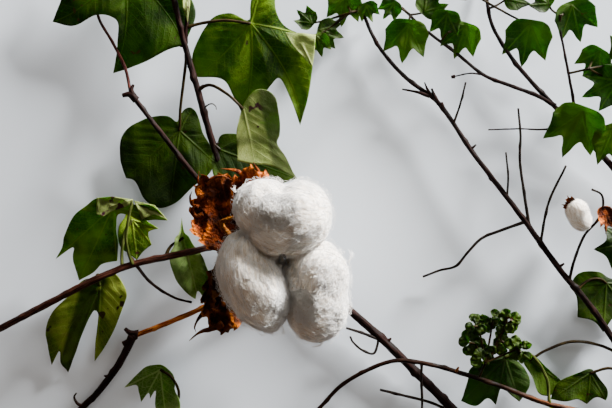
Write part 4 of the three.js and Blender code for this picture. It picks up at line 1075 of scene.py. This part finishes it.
def leaf_piece(name):
    """Blade, stalk and flaps of a leaf as one piece."""
    spec = LEAVES[name]
    seed = 300 + 7 * list(LEAVES).index(name)
    stalk_line = spec["stalk"] + [spec["at"]]
    ends = [(0.0, 0.5, 2.0, 0.0), (1.0, 0.35, 2.0, 0.0)]
    skins = [blade(spec, seed=seed), stem(stalk_line, [0.75, 0.6], 12, 0.7, seed, ends, 0.04, 2)]
    for i, (corners, height) in enumerate(FLAPS.get(name, [])):
        skins.append(flap_skin(corners, height, seed + 20 + i))
    finishes = [LEAF[BLADE_FINISH.get(name, "dark_leaf")], LEAF["leaf_upper_side"],
                STALK_FINISH.get(name, STALK), LEAF["pale_underside"]]
    return make_piece(name, skins, finishes, [name])


for name in LEAVES:
    leaf_piece(name)
print("leaves made:", dict(tally))

# %% [markdown]
# ## Sprays of small leaves
# The side shoots carry small leaves in twos and threes. They use the same blade, with a rim of five
# narrow lobes, and a stalk each that leaves one common stalk. One spray at the lower right is a close
# cluster instead, so each of its round leaves is a tuft of still smaller ones.

# %% A tuft of round leaves
TUFT = 6
TUFT_MIDDLE = 0.38  # shares of the round leaf's reach: its middle is ahead of its base,
TUFT_BACK = -0.75  # and the first small leaf stands back along the stalk


def tuft(leaf, seed):
    """A round leaf as TUFT small ones in its outline: their bases stand round its middle, and they point
    outwards."""
    x, y, z, direction, reach = leaf[:5]
    rng = np.random.default_rng(seed)
    ahead = math.radians(direction)
    rows = []
    for k in range(TUFT):
        way = direction + 360 * (k + 0.5 + 0.35 * rng.uniform(-1, 1)) / TUFT
        off = reach * rng.uniform(0.15, 0.42)
        shift = reach * (TUFT_MIDDLE if k else TUFT_BACK)
        side = math.radians(way)
        base_x = x + shift * math.cos(ahead) + off * math.cos(side)
        base_y = y + shift * math.sin(ahead) + off * math.sin(side)
        rows.append([base_x, base_y, z + rng.uniform(-1.6, 1.2), way, reach * rng.uniform(0.44, 0.64), 1])
    return rows


# %% Make each spray
HANGING_LEAN = 14
RAISED_LEAN = -8
FORK_SHARE = 0.4
FORK_RISE = 2.5


def twig(line, radius, seed):
    """A smooth thin stalk in a spray."""
    return stem(line, radius, 10, 0.5, seed, relief=0.04, finish=2)


def spray_piece(name):
    """Small blades on stalks that meet at a fork, FORK_SHARE of the way out from the limb. A leaf that
    points up the picture leans back and is dark, and the others hang."""
    owner, leaves = SPRAYS[name]
    seed = 600 + 11 * list(SPRAYS).index(name)
    places = np.array([leaf[:3] for leaf in leaves], float)
    path = evenly(curve_through(LIMBS[owner][0]), 1.0)[0]
    middle = places.mean(axis=0)
    root = path[np.argmin(np.linalg.norm(path - middle, axis=1))]
    fork = root + FORK_SHARE * (middle - root)
    fork[2] = root[2] + FORK_RISE
    skins = [twig([root, root + 0.6 * (fork - root), fork], [0.55, 0.55], seed)]
    outline, rings, bend_drop, starts = FULL_RIM, 14, 1.8, [fork] * len(leaves)
    if name == ROUND_SPRAY:
        outline, rings, bend_drop = ROUND_RIM, 7, 0.5
        starts = [leaf[:3] for leaf in leaves for k in range(TUFT)]
        skins += [twig([fork, leaf[:3]], [0.5, 0.45], seed + i) for i, leaf in enumerate(leaves)]
        leaves = [small for i, leaf in enumerate(leaves) for small in tuft(leaf, seed + i)]
    for i, (x, y, z, direction, reach, *dark) in enumerate(leaves):
        rim = [[direction + r[0], reach * r[1], *r[2:]] for r in outline]
        raised = 0 < direction < 180
        lean = RAISED_LEAN if raised else HANGING_LEAN
        spec = dict(at=[x, y, z], lean=[lean, direction], fold=0.22, rim=rim,
                    ribs=[direction + k for k in (-34, 0, 34)])
        skins.append(blade(spec, 0.28, rings, 0.7, seed + i, finishes=(3, 3) if raised or dark else (0, 1)))
        bend = starts[i] + 0.6 * (np.array([x, y, z]) - starts[i])
        bend[2] = z - bend_drop
        skins.append(twig([starts[i], bend, [x, y, z]], [0.55, 0.44], seed + i))
    finishes = [LEAF["spray_leaf"], LEAF["leaf_upper_side"], STALK, LEAF["dark_leaf"]]
    return make_piece(name, skins, finishes, [name])


for name in SPRAYS:
    spray_piece(name)
print("sprays made:", dict(tally))

# %% [markdown]
# ## The boll's bracts
# Three bracts stood under the flower. They are now dry, brown and crumpled, and cut into long teeth that
# curl. The blade function serves again: its rim is the teeth, and an extra height adds the crumpling, which
# is ridges made of folded sine waves, and the upward curl of each tooth.


# %% Bract rim
def toothed_rim(teeth, body):
    """Teeth on a body: each thin tooth rises from body x reach to a tip that leans to one side, and the rim
    between two teeth is nearly even."""
    rng = np.random.default_rng(int(teeth[0][0]))
    rim = []
    for i, (angle, reach) in enumerate(teeth):
        lean = rng.uniform(-2.2, 2.2)
        foot, neck = reach * body, reach * (body + 0.02)
        rim += [[angle - 2.4, foot], [angle - 0.7, neck], [angle + lean, reach, 1], [angle + 0.7, neck],
                [angle + 2.4, foot]]
        if i + 1 < len(teeth):
            after = teeth[i + 1]
            rim.append([(angle + after[0]) / 2, (reach + after[1]) / 2 * body * rng.uniform(0.97, 1.04), 1])
    behind = teeth[0][0] + 360 - teeth[-1][0]
    return rim + [[teeth[-1][0] + behind * share, BRACT_FOOT] for share in (0.03, 0.25, 0.5, 0.75, 0.97)]


# %% Crumpling
def folded(ground, size, seed):
    """Sharp ridges of about -1 to 1: hills folded over at their middle height."""
    return 1 - 2 * np.abs(hills(ground, size, seed))


def crumple(seed, strong, curl, body):
    """An extra height: folded ridges that grow outwards, and teeth that curl up past the body. The second
    result is a painted highlight: how near a point is to the top of a ridge, rising to 1 at the rim."""
    def height(ground, edge, turned):
        folds = folded(ground, 17.0, seed) + 0.42 * folded(ground, 6.5, seed + 1)
        fine = 0.16 * folded(ground, 2.4, seed + 2)
        ribs = 0.05 * np.sin(np.radians(turned) * 20 + 3 * hills(ground, 9.0, seed + 3))
        past = np.clip((edge - body) / (1 - body), 0, 1)
        lift = curl * past**1.5 * (0.35 + hills(ground, 7.0, seed + 4))
        crest = np.clip(0.45 + 0.35 * folds + 0.3 * ribs, 0, 1) * (1 - edge**10) + edge**10
        return strong * (folds + ribs) * np.clip(edge * 1.3, 0, 1) + fine * edge + lift, crest
    return height


# %% Make each bract
CURL_RADIUS = {"bract_upper": 1.1, "bract_left": 1.1, "bract_lower": 1.7}
# Curled ends of the torn teeth: the line of each in mm
CURLED_TIPS = {
    "bract_upper": [[[-26.5, 12.2, 19], [-29.9, 14.3, 20], [-32.9, 14.9, 21], [-36.6, 15.3, 22]],
        [[-20, 11.7, 19], [-20.8, 14.7, 20], [-22, 16.4, 21], [-22.8, 18.1, 22]]],
    "bract_left": [[[-44.2, 4.8, 20], [-45.8, 7.3, 21], [-46.4, 10.7, 23], [-45.9, 14.1, 24]],
        [[-46.9, -1.3, 19], [-49.4, 0, 20], [-50.1, 3, 21], [-49.1, 5.6, 22]], [[-44.9, -4.4, 18],
        [-47.9, -5.2, 18], [-49.1, -2.6, 19], [-47.5, -0.4, 21]], [[-45, -11.8, 17], [-47.6, -12.2, 17],
        [-49.2, -10.5, 18], [-50, -7.8, 19]], [[-42.8, 8.6, 21], [-40.1, 11.2, 22], [-36.1, 12, 23],
        [-31.9, 10.3, 22]]],
    "bract_lower": [[[-42.2, -29.5, 14.5], [-41.7, -36.9, 15], [-43.4, -40.6, 15.5], [-45.7, -43.9, 16]],
        [[-40.4, -42.0, 14.5], [-43.2, -46.0, 15.5], [-46.2, -49.0, 16], [-48.8, -54.0, 16],
        [-48.2, -56.2, 16]], [[-36.8, -52.6, 14.5], [-40.8, -54.8, 15], [-44.8, -55.6, 15],
        [-48.2, -57.4, 15], [-51.4, -60.2, 15]], [[-33.0, -53.4, 15], [-35.2, -55.2, 15],
        [-37.3, -57.5, 15.5]]],
}
for number, (name, bract) in enumerate(BRACTS.items()):
    teeth = bract["teeth"]
    spec = dict(at=BOLL_BASE - [0, 0, BRACT_DROP], lean=bract["lean"], fold=0.0,
                ribs=[tooth[0] for tooth in teeth[1::3]], rim=toothed_rim(teeth, BRACT_BODY))
    shape = crumple(900 + 10 * number, 0.85, 1.6, BRACT_BODY)
    finish = DRY_DARK if name == "bract_lower" else DRY_ORANGE
    skins = [blade(spec, 0.28, 40, 0.46, 910 + number, shape, (0, 0))]
    for i, line in enumerate(CURLED_TIPS[name]):
        ends = [CURL_RADIUS[name], 0.12]
        tip = stem(line, ends, 8, 0.35, 930 + 10 * number + i, relief=0.12)
        tip["fields"] = {}
        skins.append(tip)
    make_piece(name, skins, [finish], [name])
print("bracts made:", dict(tally))

# %% [markdown]
# ## The bur
# The hard bur has split into pointed valves, one behind each lock. The cup is a surface turned round the
# boll's axis, and each valve is a thick blade that curls up. A thin amber tongue curls up at its left.

# %% Bur
CUP_SIDES = 40
TONGUE = [[-31, -17, 16], [-34.5, -12, 19.5], [-36.3, -8.2, 22.5], [-33.4, -6.6, 24.6], [-28.1, -4.7, 26]]
turn = np.arange(CUP_SIDES) / CUP_SIDES * TURN
cup_profile = curve_through([[0.6, -BUR_HEIGHT], [BUR_RADIUS * 0.5, -BUR_HEIGHT], [BUR_RADIUS, 0],
                             [BUR_RADIUS * 0.9, 1.6], [0.6, 1.7]], 6)
cup = np.stack([cup_profile[:, :1] * np.cos(turn), cup_profile[:, :1] * np.sin(turn),
                np.broadcast_to(cup_profile[:, 1:], (len(cup_profile), CUP_SIDES))], axis=-1)
cup = cup * (1 + 0.04 * hills(cup, 3.0, 41))[..., None] + BOLL_BASE
cup_poles = BOLL_BASE + np.array([[0, 0, -BUR_HEIGHT], [0, 0, 1.6]])
cup_veins = np.zeros(cup.shape)
cup_fields = {"veins": (cup_veins, np.zeros((2, 3))), "crest": (cup_veins[..., :1], np.zeros((2, 1)))}
bur_skins = [skin(cup, cup_poles, cup_fields)]
for number, direction in enumerate(VALVE_DIRECTIONS):
    valve = dict(at=BOLL_BASE + [0, 0, 0.6], lean=[-16, direction], droop=-9, fold=0.12,
                 rim=[[direction + r[0], *r[1:]] for r in VALVE_RIM])
    bur_skins.append(blade(valve, 0.9, 18, 0.6, 950 + number, crumple(960 + number, 0.25, 0.4, 0.9), (0, 0)))
tongue = stem(TONGUE, [1.5, 0.6], 14, 0.5, 957, relief=0.1, finish=1)
tongue["fields"] = {}
bur_skins.append(tongue)
make_piece("bur", bur_skins, [DRY_BROWN, AMBER], ["bur"])
print("bur made:", dict(tally))

# %% [markdown]
# ## Locks of lint
# An open boll holds locks of lint, and each seed in a lock bears a puff of hairs. A sculpted ball would
# look like plaster, and a hair system would not survive the export. So a lock has a dense skin with soft
# hills and fine combed ridges, and several thousand short hairs lie on it, each a closed spindle of
# three sides. The skin is a globe whose reach, seen from an eye inside, is the blend of its swellings.


# %% Reach of a lock
def swelling_reaches(ways, eye, swellings):
    """How far each way out runs before it leaves each ellipsoid: the larger root of the quadratic, after
    the way and the eye are turned back by the ellipsoid's own turn about the upright axis."""
    s = np.array([[*row, 0][:7] for row in swellings], float)
    cos, sin = np.cos(np.radians(s[:, 6])), np.sin(np.radians(s[:, 6]))
    off = np.array(eye, float) - s[:, :3]
    start = np.stack([cos * off[:, 0] + sin * off[:, 1], cos * off[:, 1] - sin * off[:, 0], off[:, 2]], -1)
    start = start / s[:, 3:6]
    x, y, z = (ways[..., None, k] for k in range(3))
    along = np.stack([cos * x + sin * y, cos * y - sin * x, z + 0 * cos], -1) / s[:, 3:6]
    p, q, r = (along**2).sum(-1), (along * start).sum(-1), (start**2).sum(-1) - 1
    root = q * q - p * r
    return np.where(root > 0, np.maximum(0, (-q + np.sqrt(np.maximum(root, 0))) / p), 0)


def lock_reach(ways, eye, swellings, size):
    """The blended reach, which swelling leads, and a groove of up to 1 where two of them meet. Blended is
    soft x log(sum of exp(reach / soft)): near one swelling it is that one's reach, and it rounds a crease."""
    reaches = swelling_reaches(ways, eye, swellings)
    soft, longest = LOCK_SOFT * size, reaches.max(-1)
    blended = longest + soft * np.log(np.exp((reaches - longest[..., None]) / soft).sum(-1)) - 0.35 * soft
    ordered = np.sort(reaches[..., :-1], axis=-1)
    groove = np.exp(-(((ordered[..., -1] - ordered[..., -2]) / 1.6) ** 2))
    return blended, reaches[..., :-1].argmax(-1), groove


# %% Combed directions and the lock's surface
COMB_AXES = {
    "lint_upper": [[0.65, 0.75, 0.1], [0.12, 0.99, 0.0], [0.3, 0.95, 0.1]],
    "lint_left": [[0.95, 0.25, 0.2], [0.85, 0.5, 0.1], [0.9, 0.3, 0.3]],
    "lint_right": [[0.85, -0.5, 0.1], [0.4, 0.9, 0.1], [0.8, -0.4, 0.4]],
    "small_boll": [[0.9, 0.3, 0.1], [0.5, 0.8, 0.1]],
}
# The dark gap where the three locks meet, then the dents in each lock: middle in mm, half width and depth
DENTS = [([-9.75, -22.7], 1.6, 5.5), ([-5.2, -26.8], 4.2, 3.8), ([-2.5, -32.5], 3.2, 2.6),
         ([6.8, -33.6], 3.0, 1.7), ([1.0, -37.5], 2.2, 0.9), ([-9.2, 6.5], 2.8, 1.8),
         ([-11.2, 0.8], 3.0, 1.5), ([-14.5, -6.5], 4.6, 2.4), ([-8.0, -10.5], 2.6, 0.8),
         ([-19.5, -21.5], 3.0, 1.0), ([-13.0, -43.0], 3.0, 1.2)]
DENTS_ABOVE = 30  # mm: only the side that faces up is dented
ARC_SCALE = 11  # mm of grain for each radian round the comb axis


def combed(points, leader, swellings, axes):
    """Place in the combed grain: distance along the swelling's comb axis, arc round it, and radius."""
    middle = np.array([row[:3] for row in swellings], float)[leader]
    axis = unit(np.array(axes, float))[leader]
    off = points - middle
    along = (off * axis).sum(-1)
    round_axis = off - along[..., None] * axis
    first = unit(np.cross(axis, [0.1, 0.2, 1.0]))
    second = np.cross(axis, first)
    angle = np.arctan2((round_axis * second).sum(-1), (round_axis * first).sum(-1))
    return np.stack([along, ARC_SCALE * angle, np.linalg.norm(round_axis, axis=-1)], axis=-1)


def lock_surface(ways, eye, swellings, axes, seed, size=1.0):
    """Points on a lock: blended reach - groove + soft hills of three sizes + combed ridges."""
    reach, leader, groove = lock_reach(ways, eye, swellings, size)
    points = np.array(eye) + ways * reach[..., None]
    grain = combed(points, leader, swellings, axes)
    rise = 0.40 * hills(points, 11.0, seed) + 0.10 * hills(points, 4.2, seed + 1)
    rise = rise + 0.04 * hills(points, 1.8, seed + 2)
    lines = 0.06 * hills(grain * [1.0, 0.09, 0.3], 1.5, seed + 3)
    lines = lines + 0.04 * hills(grain * [1.0, 0.16, 0.3], 0.9, seed + 4)
    for middle, width, depth in DENTS:
        near = np.exp(-(((points[..., :2] - middle) ** 2).sum(-1)) / width**2)
        reach = reach - depth * near * (points[..., 2] > DENTS_ABOVE)
    reach = reach + size * (rise + lines - 0.12 * groove)
    return np.array(eye) + ways * reach[..., None], leader, grain


def lock_skin(eye, swellings, axes, seed, across, down, size=1.0):
    """A globe of ways out, laid on the lock's surface."""
    lat = np.pi * (np.arange(down) + 0.5) / down
    lon = TURN * np.arange(across) / across
    ways = np.stack([np.sin(lat)[:, None] * np.cos(lon), np.sin(lat)[:, None] * np.sin(lon),
                     np.broadcast_to(np.cos(lat)[:, None], (down, across))], axis=-1)
    points, _, grain = lock_surface(ways, eye, swellings, axes, seed, size)
    ends = np.array([[0, 0, 1.0], [0, 0, -1.0]])
    poles, _, end_grain = lock_surface(ends, eye, swellings, axes, seed, size)
    return skin(points, poles, {"comb": (grain, end_grain)})


# %% Hairs as closed spindles
def spindles(paths, facing, thick, finish):
    """Three-sided hairs: each path's inner points carry a triangle, and its two ends are points."""
    count, steps = paths.shape[:2]
    run = unit(np.gradient(paths, axis=1))
    side = unit(np.cross(run, facing))
    up = np.cross(side, run)
    turn = np.arange(3) / 3 * TURN
    width = (thick[:, None] * np.sin(np.linspace(0.25, 2.9, steps))[None, :])[:, 1:-1, None, None]
    across = (np.cos(turn)[:, None] * side[:, 1:-1, None, :] + np.sin(turn)[:, None] * up[:, 1:-1, None, :])
    rings = paths[:, 1:-1, None, :] + width * across
    points = np.concatenate([paths[:, :1], rings.reshape(count, -1, 3), paths[:, -1:]], axis=1)
    each = points.shape[1]
    quads, tris = ring_faces(steps - 2, 3)
    start = (np.arange(count) * each)[:, None, None]
    quads = (quads[None] + start).reshape(-1, 4)
    tris = (tris[None] + start).reshape(-1, 3)
    points = points.reshape(-1, 3)
    if volume_of(points - points.mean(axis=0), quads, tris) < 0:
        quads, tris = quads[:, ::-1], tris[:, ::-1]
    numbers = np.full(len(quads) + len(tris), finish)
    return dict(points=points, quads=quads, tris=tris, fields={}, finish=numbers)


def lint_hairs(lock, axes, seed, count, length, lift, thick, stray, size=1.0, only=None):
    """Hairs on a lock: from a seeded root each runs along the combed direction, turned by a random angle
    and bent sideways, and its height over the skin is an arch, or grows to its end for a loose hair."""
    eye, swellings = lock
    rng = np.random.default_rng(seed)
    ways = unit(rng.normal(size=(count, 3)))
    if only is not None:
        ways = unit(ways * only[1] + unit(np.array(only[0], float) - np.array(eye, float)))
    roots, leader, _ = lock_surface(ways, eye, swellings, axes, seed_of(lock), size)
    axis = unit(np.array(axes, float))[leader]
    run = unit(np.cross(axis, roots - np.array([row[:3] for row in swellings], float)[leader]))
    side = unit(np.cross(ways, run))
    angle = rng.normal(0, stray, count)[:, None]
    run = np.cos(angle) * run + np.sin(angle) * side
    side = unit(np.cross(ways, run))
    t = np.linspace(0, 1, 5)[None, :, None]
    far = (length * rng.uniform(0.5, 1.4, count))[:, None, None]
    bend = (rng.normal(0, 0.55, count))[:, None, None]
    swing = (rng.normal(0, 0.10, count))[:, None, None]
    sideways = (bend * t**2 + swing * np.sin(TURN * t)) * side[:, None, :]
    flat = roots[:, None, :] + far * (t * run[:, None, :] + sideways)
    out = unit(flat - np.array(eye, float))
    skin_points = lock_surface(out, eye, swellings, axes, seed_of(lock), size)[0]
    loose = (rng.uniform(0, 1, count) < 0.25)[:, None, None]
    arch = np.where(loose, t**1.4, 4 * t * (1 - t))
    rise = (lift * rng.uniform(0.4, 1.5, count))[:, None, None] * arch - 0.08
    paths = skin_points + out * rise
    made = spindles(paths, out, thick * rng.uniform(0.6, 1.3, count), 1)
    grain = np.repeat(roots, len(made["points"]) // count, axis=0)
    made["fields"] = {"comb": grain + rng.uniform(0, 3, (len(grain), 1))}
    return made


def seed_of(lock):
    """The seed of a lock's hills, from its eye, so that hairs find the same skin."""
    return int(1000 + 7 * abs(lock[0][0]) + 3 * abs(lock[0][1]))


# %% Make each lock
TUFTS = {
    "lint_upper": [([-27, 2, 44], 0.22, 500), ([-12, -2, 60], 0.35, 900), ([-2, -14, 56], 0.3, 250)],
    "lint_left": [([-10, -38, 50], 0.25, 800), ([-14, -47, 46], 0.25, 350)],
    "lint_right": [([-2, -40, 52], 0.35, 900), ([10, -30, 52], 0.3, 350), ([12, -46, 48], 0.25, 250)],
}
# Wisps that stand off the locks: the line of each in mm
WISPS = {
    "lint_upper": [[[-27.5, 4.0, 42], [-29.2, 5.4, 42], [-29.6, 7.4, 41]]],
    "lint_left": [[[-17, -50.5, 36], [-15.5, -53.4, 35], [-12.0, -54.6, 34]], [[-12, -48.5, 36],
        [-9.5, -52.0, 35], [-9.9, -55.2, 33]]],
    "lint_right": [[[17.2, -24.6, 37], [18.6, -22.3, 37], [19.1, -20.7, 36], [18.2, -19.4, 35]],
        [[8, -56.5, 34], [5.4, -59.4, 33], [2.2, -59.9, 32]]],
}


WISP_STEPS = 7
WISP_HAIRS = 14
LOCK_ACROSS = 176  # corners round a lock
LOCK_DOWN = 124  # rings from its top to its foot


def wisps(lines, seed):
    """A few hairs along each line: every hair is the line plus an offset that fans out to the tip."""
    rng = np.random.default_rng(seed)
    share = np.linspace(0, 1, WISP_STEPS)
    fan = 0.25 + 0.9 * share[None, :, None] ** 1.6
    paths = []
    for line in lines:
        path = evenly(curve_through(line), 0.9)[0]
        old = np.linspace(0, 1, len(path))
        path = np.stack([np.interp(share, old, path[:, k]) for k in range(3)], -1)
        offset = rng.normal(0, 0.55, (WISP_HAIRS, 1, 3)) * fan
        paths.append(path + offset + rng.normal(0, 0.08, (WISP_HAIRS, WISP_STEPS, 3)))
    paths = np.concatenate(paths)
    thick = 0.05 * rng.uniform(0.6, 1.2, len(paths))
    made = spindles(paths, np.broadcast_to(NEARLY_UP, paths.shape), thick, 1)
    made["fields"] = {"comb": made["points"].copy()}
    return made


for name, (eye, swellings) in LOCKS.items():
    lock = (eye, swellings + [CORES[name]])
    axes = COMB_AXES[name]
    base = seed_of(lock)
    skins = [lock_skin(*lock, axes, base, LOCK_ACROSS, LOCK_DOWN)]
    skins.append(lint_hairs(lock, axes, base + 60, 3600, length=5.5, lift=0.30, thick=0.09, stray=0.30))
    skins.append(lint_hairs(lock, axes, base + 70, 1100, length=3.6, lift=1.7, thick=0.045, stray=1.3))
    skins.append(wisps(WISPS[name], base + 75))
    for number, (toward, spread, count) in enumerate(TUFTS[name]):
        skins.append(lint_hairs(lock, axes, base + 80 + number, count, length=3.2, lift=0.8, thick=0.08,
                                stray=1.4, only=(toward, spread)))
    make_piece(name, skins, [LINT, BRIGHT_HAIRS], [name])
    print(name, "triangles:", sum(2 * len(s["quads"]) + len(s["tris"]) for s in skins))

# %% [markdown]
# ## The small boll
# A second, smaller boll hangs on the right. It is the same lock at a smaller size, with two dry bract
# scraps behind it and a larger one to its right.

# %% Small boll
SMALL_SIZE = 0.35
SCRAPS = [(118.2, 0.2, 128, 1), (117.6, -0.8, 172, 1), (132.6, -2.5, 268, 2.3)]
SCRAP_HEIGHT = 11.5
SCRAP_RIM = [[-120, 1.0, 0], [-40, 2.4, 0], [-18, 3.8, 1], [-8, 3.0, 0], [0, 4.8, 1], [10, 3.2, 0],
             [22, 4.0, 1], [45, 2.6, 0], [120, 1.0, 0]]
axes = COMB_AXES["small_boll"]
small_lock = (SMALL_BOLL[0], SMALL_BOLL[1] + [CORES["small_boll"]])
base = seed_of(small_lock)
skins = [lock_skin(*small_lock, axes, base, across=90, down=60, size=SMALL_SIZE)]
skins.append(lint_hairs(small_lock, axes, base + 60, 900, length=2.6, lift=0.4, thick=0.05, stray=0.8,
                        size=SMALL_SIZE))
for number, (x, y, direction, size) in enumerate(SCRAPS):
    scrap = dict(at=[x, y, SCRAP_HEIGHT], lean=[-12, direction], fold=0.1,
                 rim=[[direction + off, size * reach, tip] for off, reach, tip in SCRAP_RIM])
    skins.append(blade(scrap, 0.25, 10, 0.5, 980 + number, crumple(985 + number, 0.35, 0.8, 0.8), (2, 2)))
make_piece("small_boll", skins, [LINT, BRIGHT_HAIRS, DRY_ORANGE], ["small_boll"])
print("all made:", dict(tally))
